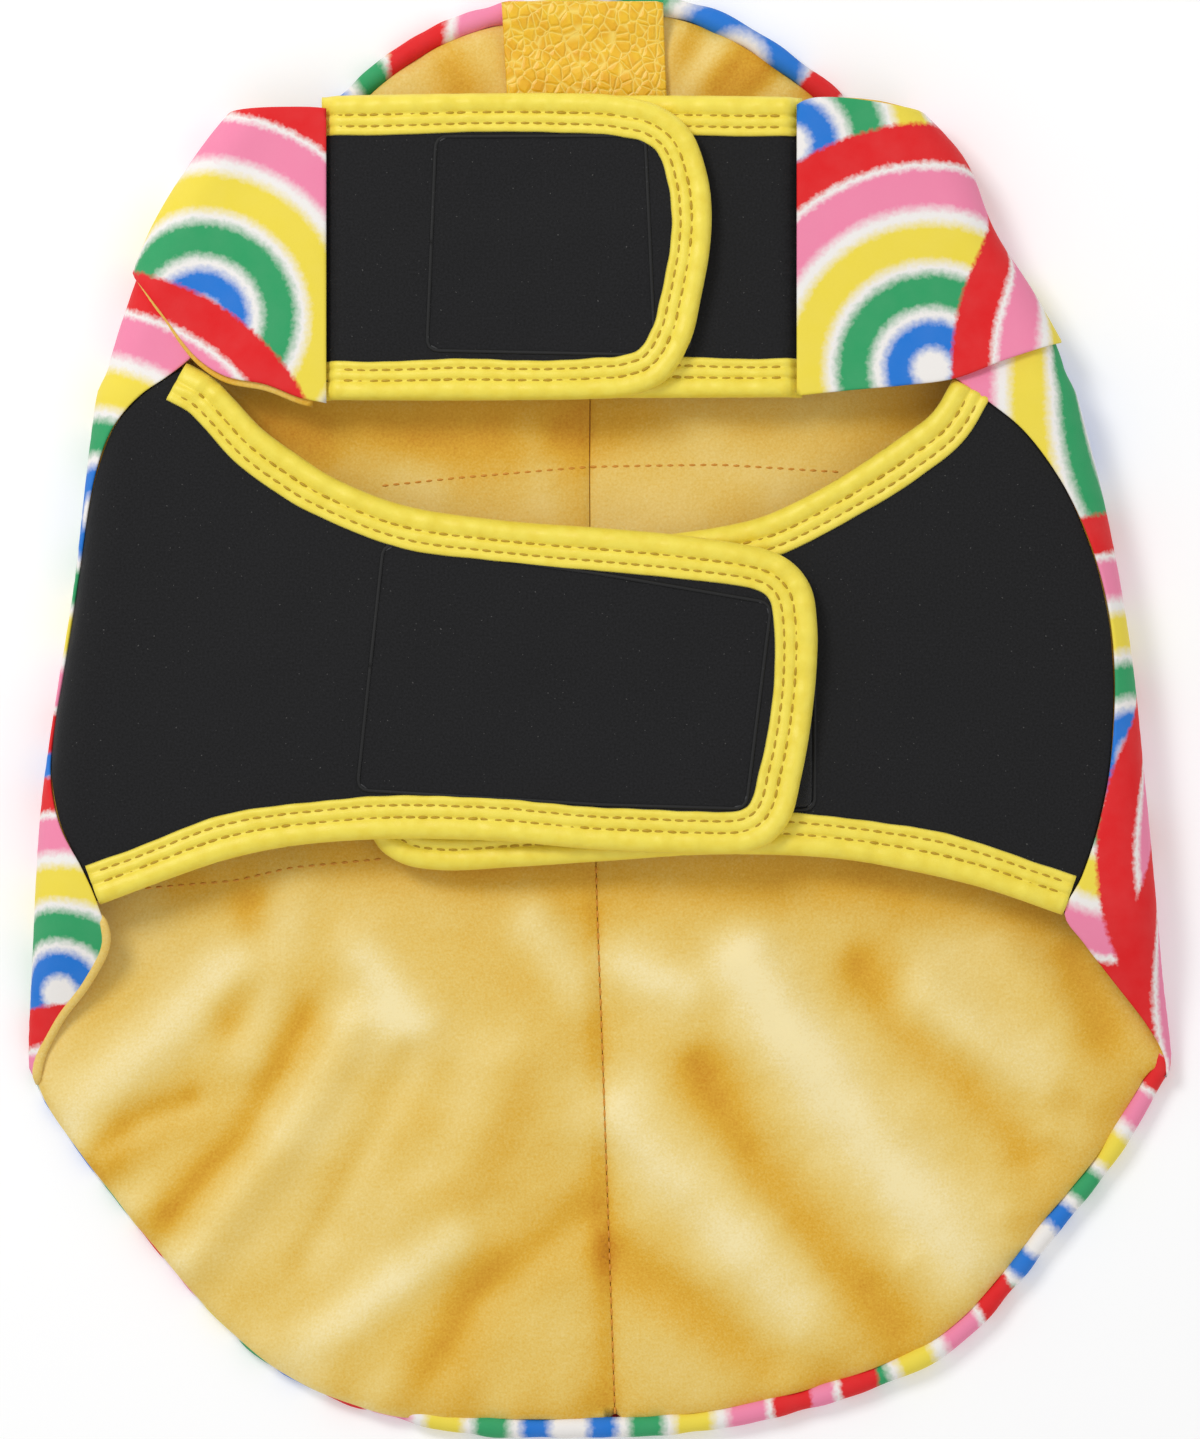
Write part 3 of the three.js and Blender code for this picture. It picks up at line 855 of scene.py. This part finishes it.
# Painted light and shade at the same places: painted highlights along the ridges, painted shade in the
# valleys, along the centre seam, below the straps' edges and in the neck's folds.
PAINTED_LIGHT_STREAKS = [
    (0.30, 9, [(-153, -119), (-124, -94), (-102, -74)]),
    (-0.26, 8, [(-148, -130), (-133, -119), (-118, -114)]),
    (-0.26, 8, [(-106, -90), (-97, -73), (-99, -58)]),
    (0.26, 8, [(-86, -50), (-93, -76), (-99, -99)]),
    (0.26, 8, [(-66, -90), (-84, -122), (-108, -152), (-116, -161)]),
    (-0.26, 8, [(-84, -92), (-102, -122), (-123, -148)]),
    (0.36, 7, [(-68, -70), (-53, -89)]),
    (0.32, 7, [(-92, -191), (-66, -172), (-42, -154)]),
    (-0.26, 10, [(-3, -147), (-35, -170), (-48, -192)]),
    (0.26, 7, [(-18, -62), (-4, -83)]),
    (-0.22, 5, [(-1, -60), (0, -120), (3, -200)]),
    (0.24, 6, [(2, -72), (24, -80)]),
    (0.44, 13, [(44, -74), (58, -96), (75, -117), (93, -140), (110, -160)]),
    (-0.30, 9, [(32, -105), (49, -134), (68, -157), (89, -180)]),
    (0.34, 11, [(6, -117), (34, -146), (58, -174)]),
    (-0.24, 9, [(6, -158), (29, -174), (49, -190)]),
    (-0.28, 9, [(77, -75), (92, -92), (109, -108), (126, -128)]),
    (0.30, 10, [(95, -86), (112, -95), (126, -101)]),
    (-0.28, 7, [(139, -71), (149, -94)]),
    (-0.26, 10, [(-120, -50), (-80, -42), (0, -48), (80, -48), (126, -58)]),
    (-0.34, 14, [(-110, 84), (-60, 80), (-10, 80)]),
    (-0.2, 12, [(10, 84), (60, 80), (104, 84)]),
    (0.22, 7, [(-70, 76), (-50, 66)]),
    (0.2, 6, [(-20, 82), (-16, 60)]),
    (0.22, 9, [(30, 80), (50, 68)]),
    (-0.3, 7, [(-48, 200), (-42, 180)]),
    (-0.3, 6, [(50, 192), (36, 180)]),
    (-0.06, 16, [(-62, 184), (-30, 196), (30, 196), (62, 184)]),
]
SEAM_LINE = spline(
    [(0.4, 206), (-1.5, 178), (-2.9, 90), (-2.9, 53), (-1.8, 0), (-1.2, -43), (1.2, -112), (4.5, -208)]
)
NECK_EDGE = inset(spline(NECK), 6)
LINING_EDGE_Z = 4.9
LOWEST_LINING = 4.2
MOST_LINING = 12.6
UNDER_STRAPS = 10.8  # the most where straps lie over the lining


def seam_x(y):
    """Where the lining's centre seam is."""
    return np.interp(y, SEAM_LINE[::-1, 1], SEAM_LINE[::-1, 0])


def right_share(x):
    """0 left of the hem's lowest stretch and 1 right of it: on the right the printed roll shows."""
    return smooth((x + 66) / 40)


def lining_outline():
    """Inside the printed roll on the right, and out to the hem's edge on the left."""
    hem = spline(HEM)
    hem = inset(hem, (1.0 + 4.4 * right_share(hem[:, 0]))[:, None])
    return around_body(hem, NECK_EDGE, lambda y: 2.5 * (1 - smooth((y - HIP_Y) / 40)) - 1.0)


LINING_OUTLINE = lining_outline()


def neck_gathers(x, y):
    """Folds that run in from the neckline, strongest beside it."""
    angle = np.arctan2(y - 140, x / 1.15)
    near = edge_distance(x, y, NECK_EDGE, closed=False)
    fade = np.exp(-((near / 15) ** 2)) * smooth((y - 150) / 25)
    return fade * (np.sin(16 * angle + 2 * np.sin(5 * angle)) + 0.4 * np.sin(37 * angle + 1))


def hem_gathers(x, y):
    """Small puckers where the lining is sewn to the hem."""
    angle = np.arctan2(y + 60, x)
    near = edge_distance(x, y, spline(HEM, 4.0), closed=False)
    fade = np.exp(-((near / 13) ** 2)) * smooth((HIP_Y + 10 - y) / 25)
    return fade * (np.sin(31 * angle + 3 * np.sin(5 * angle)) + 0.6 * np.sin(53 * angle))


FREE_FROM_EDGE = 22.0  # how far in from its edge the lining starts to move freely


def lining_height(x, y):
    """Top of the lining: a soft rise from its edge, loose waves, folds and the seam's groove."""
    edge = edge_distance(x, y, LINING_OUTLINE)
    rise = 2.6 * rounding(edge, 14)
    loose = 0.9 * waves(x, y, 60, 11) + 0.25 * waves(x, y, 24, 12) + 0.05 * waves(x, y, 9, 13)
    folds = 0.75 * streaks(x, y, RIDGES) + 0.9 * neck_gathers(x, y) + 0.8 * hem_gathers(x, y)
    seam = np.abs(x - seam_x(y))
    groove = 0.5 * np.exp(-((seam / 2.5) ** 2)) + 1.3 * np.exp(-((seam / 14) ** 2))
    free = rounding(edge, FREE_FROM_EDGE)
    gathered = 0.5 * neck_gathers(x, y) + 0.5 * hem_gathers(x, y)
    height = LINING_EDGE_Z + rise + free * (loose + folds) + (1 - free) * gathered - groove
    under_straps = smooth((SHOULDER_Y + 10 - y) / 14) * smooth((y + 62) / 16)
    roof = MOST_LINING + (UNDER_STRAPS - MOST_LINING) * under_straps
    height = np.where(height > roof - 1, roof - np.exp(-(height - roof + 1)), height)
    return np.maximum(height, LOWEST_LINING)


# Step over which the painted shading reads the slope, and the middle level of the painted light.
SHADING_SLOPE_STEP = 1.2
PAINTED_LIGHT_BASE = 0.6


def lining_painted_light(x, y):
    """Painted light and shade of the lining: lighter where its slope faces the key light, rising to the
    right or falling towards the neck, with the painted highlights and shade along the bands and a little
    random tone.
    """
    slope_x = lining_height(x + SHADING_SLOPE_STEP, y) - lining_height(x - SHADING_SLOPE_STEP, y)
    slope_y = lining_height(x, y + SHADING_SLOPE_STEP) - lining_height(x, y - SHADING_SLOPE_STEP)
    painted_light_lean = np.clip((slope_x - 0.8 * slope_y) / (2 * SHADING_SLOPE_STEP), -0.4, 0.45)
    return PAINTED_LIGHT_BASE + 0.42 * painted_light_lean + 0.85 * streaks(x, y, PAINTED_LIGHT_STREAKS) + 0.05 * waves(x, y, 40, 21)


SEAM_GAP = 0.08
CUT_OPEN = 20.0  # an edge whose ends are nearer than this still has to be opened at the seam


def half_lining(sign):
    """Outline of one half of the lining: its share of the edge, closed along the centre seam."""
    beside = sign * (LINING_OUTLINE[:, 0] - seam_x(LINING_OUTLINE[:, 1]))
    mine = LINING_OUTLINE[beside > 1.0]
    start = int(np.argmax(np.linalg.norm(np.diff(mine, axis=0), axis=1))) + 1
    if np.linalg.norm(mine[0] - mine[-1]) < CUT_OPEN:
        mine = np.roll(mine, -start, axis=0)
    seam = SEAM_LINE + [SEAM_GAP / 2 * sign, 0]
    low_y, high_y = sorted((mine[0, 1], mine[-1, 1]))
    seam = seam[(seam[:, 1] > low_y + 0.4) & (seam[:, 1] < high_y - 0.4)]
    if mine[-1, 1] < mine[0, 1]:
        seam = seam[::-1]
    return np.concatenate([mine, seam])


def back():
    """Printed shell, wadding and the two halves of the velvet lining."""
    shell = panel(
        "back_shell", rainbow_discs("print_back", lattice((-170, -230), (130, 200))),
        back_outline(4.5, 5.0, HIP_RADIUS + 1.5), level(CLOTH), level(0), spacing=8, rim=0.8,
    )
    on_coat(shell, "back_shell")
    wadding = panel(
        "back_wadding", WADDING_CLOTH, back_outline(6.5, 8.0, HIP_RADIUS + 4.5),
        lambda x, y: lining_height(x, y) - VELVET - 0.3, level(CLOTH + 0.2), spacing=6, rim=1.4,
    )
    on_coat(wadding, "back_wadding")
    for sign, name in ((-1, "left"), (1, "right")):
        # Each half gets painted light and shade from its slopes and the painted bands.
        lining = panel(
            f"back_lining_{name}", VELVET_CLOTH, half_lining(sign), lining_height,
            lambda x, y: lining_height(x, y) - VELVET, spacing=2.5, rim=0.3, nap=lining_painted_light,
        )
        on_coat(lining, f"back_lining_{name}")


def on_lining(points):
    path = resample(np.array(points, float), 2.0)
    return np.c_[path, lining_height(path[:, 0], path[:, 1])]


def lining_stitches():
    """Quilting stitches across the lining, and those of its centre seam."""
    lines = [
        [(-64, 66), (-40, 68.5), (-3, 71.6), (35, 72.2), (70, 70)],
        [(-133, -51), (-106, -48.8), (-90, -45), (-63, -42.4)],
    ]
    lines.append(SEAM_LINE[SEAM_LINE[:, 1] < -44])
    lines.append(SEAM_LINE[SEAM_LINE[:, 1] > 178])
    rows = [on_lining(points) for points in lines]
    on_coat(stitches("lining_stitches", GOLD_THREAD, rows, pitch=3.2, length=2.2))


HEM_ROLL = 2.9
NECK_ROLL = 3.1
HEM_DISCS = [(-150, -120), (-80, -195), (128, -153, 1.1, 1.1), (58.5, -203), (11, -206), (-9, -208)]
NECK_DISCS = [(0, 190), (-85, 172), (40, 190, 0.7, 0.7), (115, 140)]


def rolls():
    """Printed cloth rolled over the hem and the neckline."""
    x, y = inset(spline(HEM, 1.6), HEM_ROLL).T
    on_right = right_share(x)
    hem_radius = HEM_ROLL - 0.6 + 0.7 * on_right + 0.3 * waves(x, y, 14, 31)
    hem = tube(
        "hem_band", rainbow_discs("print_hem", HEM_DISCS), np.c_[x, y, 2.8 + 0.9 * on_right],
        lambda s: hem_radius * tapered(s, 0.012), sides=14,
    )
    on_coat(hem, "hem_band")
    x, y = inset(spline(NECK, 1.4), NECK_ROLL).T
    neck_radius = NECK_ROLL + 0.35 * waves(x, y, 11, 32)
    neck = tube(
        "neck_band", rainbow_discs("print_neck", NECK_DISCS),
        np.c_[x, y, 4.2 + 0.3 * waves(x, y, 25, 33)], lambda s: neck_radius * tapered(s, 0.02), sides=14,
    )
    on_coat(neck, "neck_band")


def tapered(s, share):
    """Thinner at the two ends of a roll."""
    return 0.4 + 0.6 * rounding(np.minimum(s, 1 - s), share)


FLAP_TOP = -57.0  # where the left flap's free edge starts, below the belly wing


def velvet_edge():
    """Rolled velvet edge that shows along the left flap."""
    flap = LEFT.seam[LEFT.seam[:, 1] < FLAP_TOP][::-1]
    flap = LEFT.unroll(inset(flap, 0.4))
    shown = LEFT.wrap(flap[:, 0], flap[:, 1], np.full(len(flap), -1.1))
    roll = tube("flap_velvet_edge", VELVET_CLOTH, shown, lambda s: 1.5 * tapered(s, 0.1))
    # The roll gets an even level of painted light, just over the middle.
    layer = roll.data.attributes.new("nap", "FLOAT", "POINT")
    layer.data.foreach_set("value", np.full(len(roll.data.vertices), PAINTED_LIGHT_BASE + 0.02, np.float32))
    on_coat(roll)


# ---------- Straps ----------

STRAP_DEPTH = 2.4  # from the outside of the fold down to the middle of a strap
TILT = {"chest_tab": math.radians(2.25), "belly_wing": math.radians(1.28)}
BEND = {"chest_tab": (-0.5, 20), "belly_wing": (-4, 22)}  # from and to, past the hinge line
BAND_SCALE = {"chest_tab": 0.97, "belly_wing": 1.03}  # width of the binding
SAG_SEED = {"chest_tab": 41, "belly_wing": 42}


class Strap:
    """One strap. Its points are drawn unrolled in the side frame, at heights from its middle."""

    def __init__(self, side, kind, edge, seam):
        self.side, self.kind = side, kind
        self.name = f"{kind}_{side.name}"
        self.hinge = Hinge(f"{side.name}_{kind}_opening")
        self.top = side is LEFT
        self.tilt = TILT[kind] * (1 if self.top else -1)
        self.edge = side.unroll(edge)
        self.seam = side.unroll(seam)

    def lift(self, x, y):
        """Left straps rise and right ones sink away from the hinge, with some sag."""
        world = self.side.sign * x
        inward = np.maximum(self.hinge.distance(world, y), 0)
        seed = SAG_SEED[self.kind]
        sag = 0.9 * waves(world, y, 75, seed) + 0.3 * waves(world, y, 26, seed + 5)
        return math.tan(self.tilt) * inward + smooth(inward / 40) * sag

    def tuck(self, x, y):
        """How far the end of a strap goes under the shoulder's cloth."""
        if self.kind == "belly_wing":
            return 2.2 * smooth((y - SHOULDER_LOW) / 9) * smooth((x - 84) / 12)
        return 3.4 * smooth((x - CHEST_SEAM[self.side.name] + 2.6) / 2.6)

    def place(self, x, y, b):
        return self.side.wrap(x, y, b - STRAP_DEPTH + self.lift(x, y) - self.tuck(x, y))

    def join(self, piece, slot):
        self.hinge.blend(piece, *BEND[self.kind])
        return piece


ROWS = ((9.3, 2.05), (6.0, 2.0))  # rows of stitches: distance in from the edge, height
BAND_PROFILE = [  # distance in from the outer edge, height over the middle
    (12.0, 1.7), (11.6, 2.25), (10.6, 2.6), (9.3, 2.05), (8.5, 2.6), (7.6, 2.75), (6.8, 2.6),
    (6.0, 1.95), (5.2, 2.65), (4.2, 3.15), (3.0, 3.35), (1.6, 2.9), (0.6, 1.9), (0.1, 0.6),
    (0.1, -0.6), (0.5, -1.75), (1.5, -2.35), (3.2, -2.5), (6.0, -2.1), (7.6, -2.5), (9.3, -2.1),
    (11.2, -2.25), (12.0, -1.7),
]
BAND_INSIDE = [(11.4, -1.58), (11.4, 1.58)]  # the two corners that lie on the neoprene
ROLL_WIDTH = 8.0  # of the puffy outer part, which creases


def edge_and_normals(strap):
    """The strap's free edge, with smoothed normals that point into the strap."""
    path = resample(strap.edge, 1.5)
    normal = side_normals(path)
    padded = np.concatenate([normal[:1]] * 3 + [normal] + [normal[-1:]] * 3)
    normal = unit(sum(padded[k : k + len(normal)] for k in range(7)))
    if ((strap.edge.mean(0) - path) * normal).sum() < 0:
        normal = -normal
    return path, normal


def binding(strap):
    """Yellow cloth wrapped round the free edge: a puffy outer roll and a flat stitched band."""
    path, normal = edge_and_normals(strap)
    along = np.concatenate([[0], np.cumsum(np.linalg.norm(np.diff(path, axis=0), axis=1))])
    shape = np.concatenate([spline(BAND_PROFILE, 0.55), BAND_INSIDE])
    uneven = 0.03 * waves(along, 0 * along, 40, 51) + 0.008 * waves(along, 0 * along, 9, 52)
    width = BAND_SCALE[strap.kind] * (1 + uneven)
    crease = 0.2 * waves(along, 0 * along, 8, 53) + 0.16 * waves(along, 0 * along, 3.4, 54)
    if strap.kind == "belly_wing":
        crease = crease * (1 + 2.2 * np.exp(-(((along[-1] - along) / 22) ** 2)))
    verts, plan = [], []
    for a, b in shape:
        p = path + normal * (a * width)[:, None]
        outer = rounding(max(ROLL_WIDTH - a, 0), ROLL_WIDTH)
        verts.append(strap.place(p[:, 0], p[:, 1], b + np.sign(b) * crease * (0.3 + outer)))
        plan.append(np.c_[along, np.full(len(path), a), np.full(len(path), b)])
    rows, count = len(shape), len(path)
    verts, plan = np.concatenate(verts), np.concatenate(plan)
    faces = []
    for i in range(rows):
        j = (i + 1) % rows
        for k in range(count - 1):
            faces.append([i * count + k, i * count + k + 1, j * count + k + 1, j * count + k])
    faces.append([i * count for i in range(rows)])
    faces.append([i * count + count - 1 for i in range(rows)][::-1])
    piece = make_mesh(f"{strap.name}_binding", verts, faces, BINDING_CLOTH, {"cloth": plan})
    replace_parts(strap.join(piece, "yellow_binding"), f"{strap.name}_binding")
    lines = []
    for a, b in ROWS:
        p = path + normal * (a * width)[:, None]
        for sign in (1, -1):
            lines.append(strap.place(p[:, 0], p[:, 1], sign * (b + 0.1) + 0 * along)[2:-2])
    rows = stitches(f"{strap.name}_topstitch", TOPSTITCH, lines, length=2.8, width=0.42, height=0.34)
    strap.join(rows, "yellow_binding")


UNDER_BINDING = 1.6  # how far in from the binding's outer edge the neoprene ends


def neoprene_panel(strap):
    """Black foam of one strap, from its seam to inside its binding."""
    path, normal = edge_and_normals(strap)
    free = path + normal * UNDER_BINDING
    outline = np.concatenate([free[1:-1], strap.seam])
    keep = [0]
    for i in range(1, len(outline)):
        if np.linalg.norm(outline[i] - outline[keep[-1]]) > 0.5:
            keep.append(i)
    outline = outline[keep]
    half = NEOPRENE / 2
    piece = panel(
        strap.name, NEOPRENE_CLOTH, outline, lambda x, y: half + 0.1 * waves(x, y, 12, 61),
        level(-half), strap.place, spacing=3.0, rim=1.0,
    )
    nodes = [strap.name]
    if strap.kind == "belly_wing":
        nodes.append(f"belly_wing_base_{strap.side.name}")
    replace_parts(strap.join(piece, "black_neoprene"), *nodes)


TAPE_CORNER = 3.5
TAPE_HEIGHTS = (1.6, 2.35)  # of its two faces, from the middle of the strap
SEAM_HEIGHT = 1.62


def sewn_tape(strap, outline, node):
    """Hook or loop tape, on the face towards the other strap, with the black seam that shows on
    both faces of the neoprene: black thread, and painted shade of the groove the seam presses in."""
    outline = np.array(outline, float)
    start = (outline[-1] + outline[0]) / 2
    ring = rounded([start, *outline, start], TAPE_CORNER)
    below, above = sorted(-z if strap.top else z for z in TAPE_HEIGHTS)
    piece = panel(
        node, TAPE_CLOTH, inset_closed(ring[:-1], 1.0) * [strap.side.sign, 1],
        level(above), level(below), strap.place, spacing=4, rim=0.4,
    )
    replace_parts(strap.join(piece, "hook_loop_tape"), node)
    seam = ring * [strap.side.sign, 1]
    faces = [strap.place(*seam.T, np.full(len(seam), b)) for b in (SEAM_HEIGHT, -SEAM_HEIGHT)]
    rows = stitches(f"{node}_stitches", DARK_THREAD, faces, pitch=4.2, length=2.6, width=0.3)
    strap.join(rows, "black_neoprene")
    # A black tube under the stitches: the black thread, and painted shade of the seam's groove.
    for k, face in enumerate(faces):
        line = tube(
            f"{node}_seam_{k}", BLACK_THREAD_AND_GROOVE_SHADE, face, lambda s: np.full(len(s), 0.55), sides=8, flatten=0.5,
        )
        strap.join(line, "black_neoprene")


def inset_closed(ring, distance):
    """The closed ring moved inwards."""
    t = unit(np.roll(ring, -1, axis=0) - np.roll(ring, 1, axis=0))
    normal = np.stack([t[:, 1], -t[:, 0]], 1)
    if ((ring.mean(0) - ring) * normal).sum() < 0:
        normal = -normal
    return ring + normal * distance


# Outer edges of the bindings, from the lower end round the tip to the upper end.
LEFT_CHEST_EDGE = [
    (80.4, 90.2), (40, 90.0), (2, 90.4), (-8.7, 91.2), (-18.9, 95.6), (-26.1, 107), (-29.2, 119.8),
    (-31.6, 133), (-32.2, 144), (-31, 154.6), (-26.1, 167.6), (-17.4, 174.7), (-4, 178), (10, 178.7),
    (74, 178.2), (80.4, 178),
]
RIGHT_CHEST_EDGE = [
    (58.4, 91), (0, 91), (-34, 92), (-46, 98), (-51, 112), (-52.5, 130), (-52.5, 150), (-49, 168),
    (-38, 176), (-20, 178), (30, 178.3), (58.4, 177.8),
]
LEFT_BELLY_EDGE = [
    (144.2, -55.4), (124.1, -47.9), (107.3, -42.3), (89.6, -38.6), (62.9, -36.5), (29.9, -37), (0, -39.5),
    (-30, -40.6), (-42, -40.2), (-49.5, -37.2), (-54.9, -30.5), (-57.9, -19.1), (-60.6, -4.6), (-62.4, 12.2),
    (-62.6, 25), (-60.8, 36.2), (-55.6, 43.2), (-48.4, 47), (-38.9, 49), (-22.3, 51.4), (0, 53.4),
    (29.9, 55.8), (57.4, 60.2), (77.4, 68.2), (87.6, 74.8), (97.4, 82.0), (105.5, 90.6), (111.9, 97),
    (119.2, 101.2),
]
RIGHT_BELLY_EDGE = [
    (133.4, -58.4), (111.1, -50.8), (88.7, -45.5), (66.7, -42), (33, -41), (0, -43.0),
    (-24.1, -44.6), (-46, -45.6), (-57.5, -43.6), (-64.5, -38.5), (-68, -28), (-68.6, 10),
    (-65.5, 32), (-58, 41), (-46, 45), (-22, 48.5), (22.3, 52.0), (44.4, 56), (54.5, 60),
    (68.7, 67.6), (86.4, 79.4), (96.0, 86.8), (101.8, 96.4),
]


def belly_seam(side, lower, upper):
    """The wing's curved seam to the coat, from its upper end down."""
    seam = side.seam[(side.seam[:, 1] > lower) & (side.seam[:, 1] < upper)]
    return inset(seam[::-1], 0.15)


def chest_seam(side):
    """The tab's straight seam to the shoulder, just under the shoulder's edge."""
    return np.c_[np.full(20, CHEST_SEAM[side.name] + 1.5), np.linspace(177.5, 91, 20)]


# Corners of the hook tapes under the left straps, and of the loop tapes on the right ones.
CHEST_HOOKS = [(-49.9, 104.5), (15.8, 103), (13, 166.2), (-47.3, 166.2)]
CHEST_LOOPS = [(-36, 104), (26, 104), (26, 165), (-36, 165)]
BELLY_HOOKS = [(-70, -22.2), (0, -26.4), (42, -27.6), (49.3, 31.6), (0, 40), (-62.4, 48.7)]
BELLY_LOOPS = [(-50, -28), (62, -28), (62, 32), (-50, 32)]


def straps():
    """The two pairs of straps, the lower one of each pair first."""
    made = [
        Strap(RIGHT, "chest_tab", spline(RIGHT_CHEST_EDGE), chest_seam(RIGHT)),
        Strap(LEFT, "chest_tab", spline(LEFT_CHEST_EDGE), chest_seam(LEFT)),
        Strap(RIGHT, "belly_wing", spline(RIGHT_BELLY_EDGE), belly_seam(RIGHT, -58.4, 95.6)),
        Strap(LEFT, "belly_wing", spline(LEFT_BELLY_EDGE), belly_seam(LEFT, -55.6, 100.4)),
    ]
    for strap in made:
        neoprene_panel(strap)
        binding(strap)
    for strap, tape in zip(made, (CHEST_LOOPS, CHEST_HOOKS, BELLY_LOOPS, BELLY_HOOKS)):
        sewn_tape(strap, tape, f"{strap.kind}_{'hook' if strap.top else 'loop'}_tape")


# ---------- Leather tab ----------

TAB = [(-27, 178.6), (-28.6, 206.5), (18.3, 206.5), (19.4, 178.6), (19.6, 145), (-26.4, 145)]
TAB_THICKNESS = 1.8
TAB_CLEAR = 3.6  # of the tab's top over the CAD lining


def neck_tab():
    """Leather strip that lies over the neckline and goes down under the chest tabs."""
    outline = resample(np.array([*TAB, TAB[0]], float), 2.5)[:-1]

    def height(x, y):
        over_roll = 2.2 * smooth((y - 192) / 12)
        tuck = -1.5 * smooth((186 - y) / 20)
        return LINING_TOP + TAB_CLEAR + over_roll + tuck + 0.35 * waves(x, y, 40, 71)

    piece = panel(
        "neck_tab", LEATHER, outline, height, lambda x, y: height(x, y) - TAB_THICKNESS, spacing=3, rim=0.5,
    )
    on_coat(piece, "neck_tab")


# ---------- Studio ----------

VIEW_HEIGHT = 417.3  # of the picture, at the height of the straps
VIEW_CENTRE_Y = -1.9
CAMERA_DISTANCE = 1800.0
REFERENCE_Z = 12.0
SENSOR = 36.0


LIGHTS = (  # name, place in metres, power, size
    ("key", (-0.75, 0.8, 1.3), 11.5, 0.5),
    ("fill", (0.9, -0.5, 1.5), 3.0, 1.2),
)
SKY = 0.6
PAPER = 0.93
PAPER_GLOW = 0.12
FLOOR_Z = -0.4


def camera_above():
    data = bpy.data.cameras.new("camera")
    data.sensor_width = SENSOR
    data.lens = SENSOR * CAMERA_DISTANCE / VIEW_HEIGHT
    data.clip_end = 100
    camera = bpy.data.objects.new("camera", data)
    camera.location = (0, VIEW_CENTRE_Y * MM, (CAMERA_DISTANCE + REFERENCE_Z) * MM)
    bpy.context.scene.collection.objects.link(camera)
    bpy.context.scene.camera = camera


def soft_lights():
    for name, place, power, size in LIGHTS:
        light = bpy.data.lights.new(name, "AREA")
        light.energy = power
        light.size = size
        lamp = bpy.data.objects.new(name, light)
        lamp.location = place
        lamp.rotation_euler = (-Vector(place)).to_track_quat("-Z", "Y").to_euler()
        bpy.context.scene.collection.objects.link(lamp)
    world = bpy.data.worlds.new("studio")
    world.use_nodes = True
    sky = world.node_tree.nodes["Background"]
    sky.inputs["Color"].default_value = (1, 1, 1, 1)
    sky.inputs["Strength"].default_value = SKY
    bpy.context.scene.world = world
    bpy.context.scene.view_settings.view_transform = "Standard"


def white_floor():
    paper = bpy.data.materials.new("paper")
    paper.use_nodes = True
    shader = paper.node_tree.nodes["Principled BSDF"]
    shader.inputs["Base Color"].default_value = (PAPER, PAPER, PAPER, 1)
    shader.inputs["Roughness"].default_value = 0.9
    shader.inputs["Emission Color"].default_value = (1, 1, 1, 1)
    shader.inputs["Emission Strength"].default_value = PAPER_GLOW
    bpy.ops.mesh.primitive_plane_add(size=8, location=(0, 0, FLOOR_Z * MM))
    floor = bpy.context.object
    floor.name = "floor"
    floor.data.materials.append(paper)


# ---------- Assembly ----------

camera_above()
soft_lights()
white_floor()
back()
lining_stitches()
rolls()
for each in SIDES:
    fold_side(each)
    shoulder(each)
velvet_edge()
neck_tab()
straps()
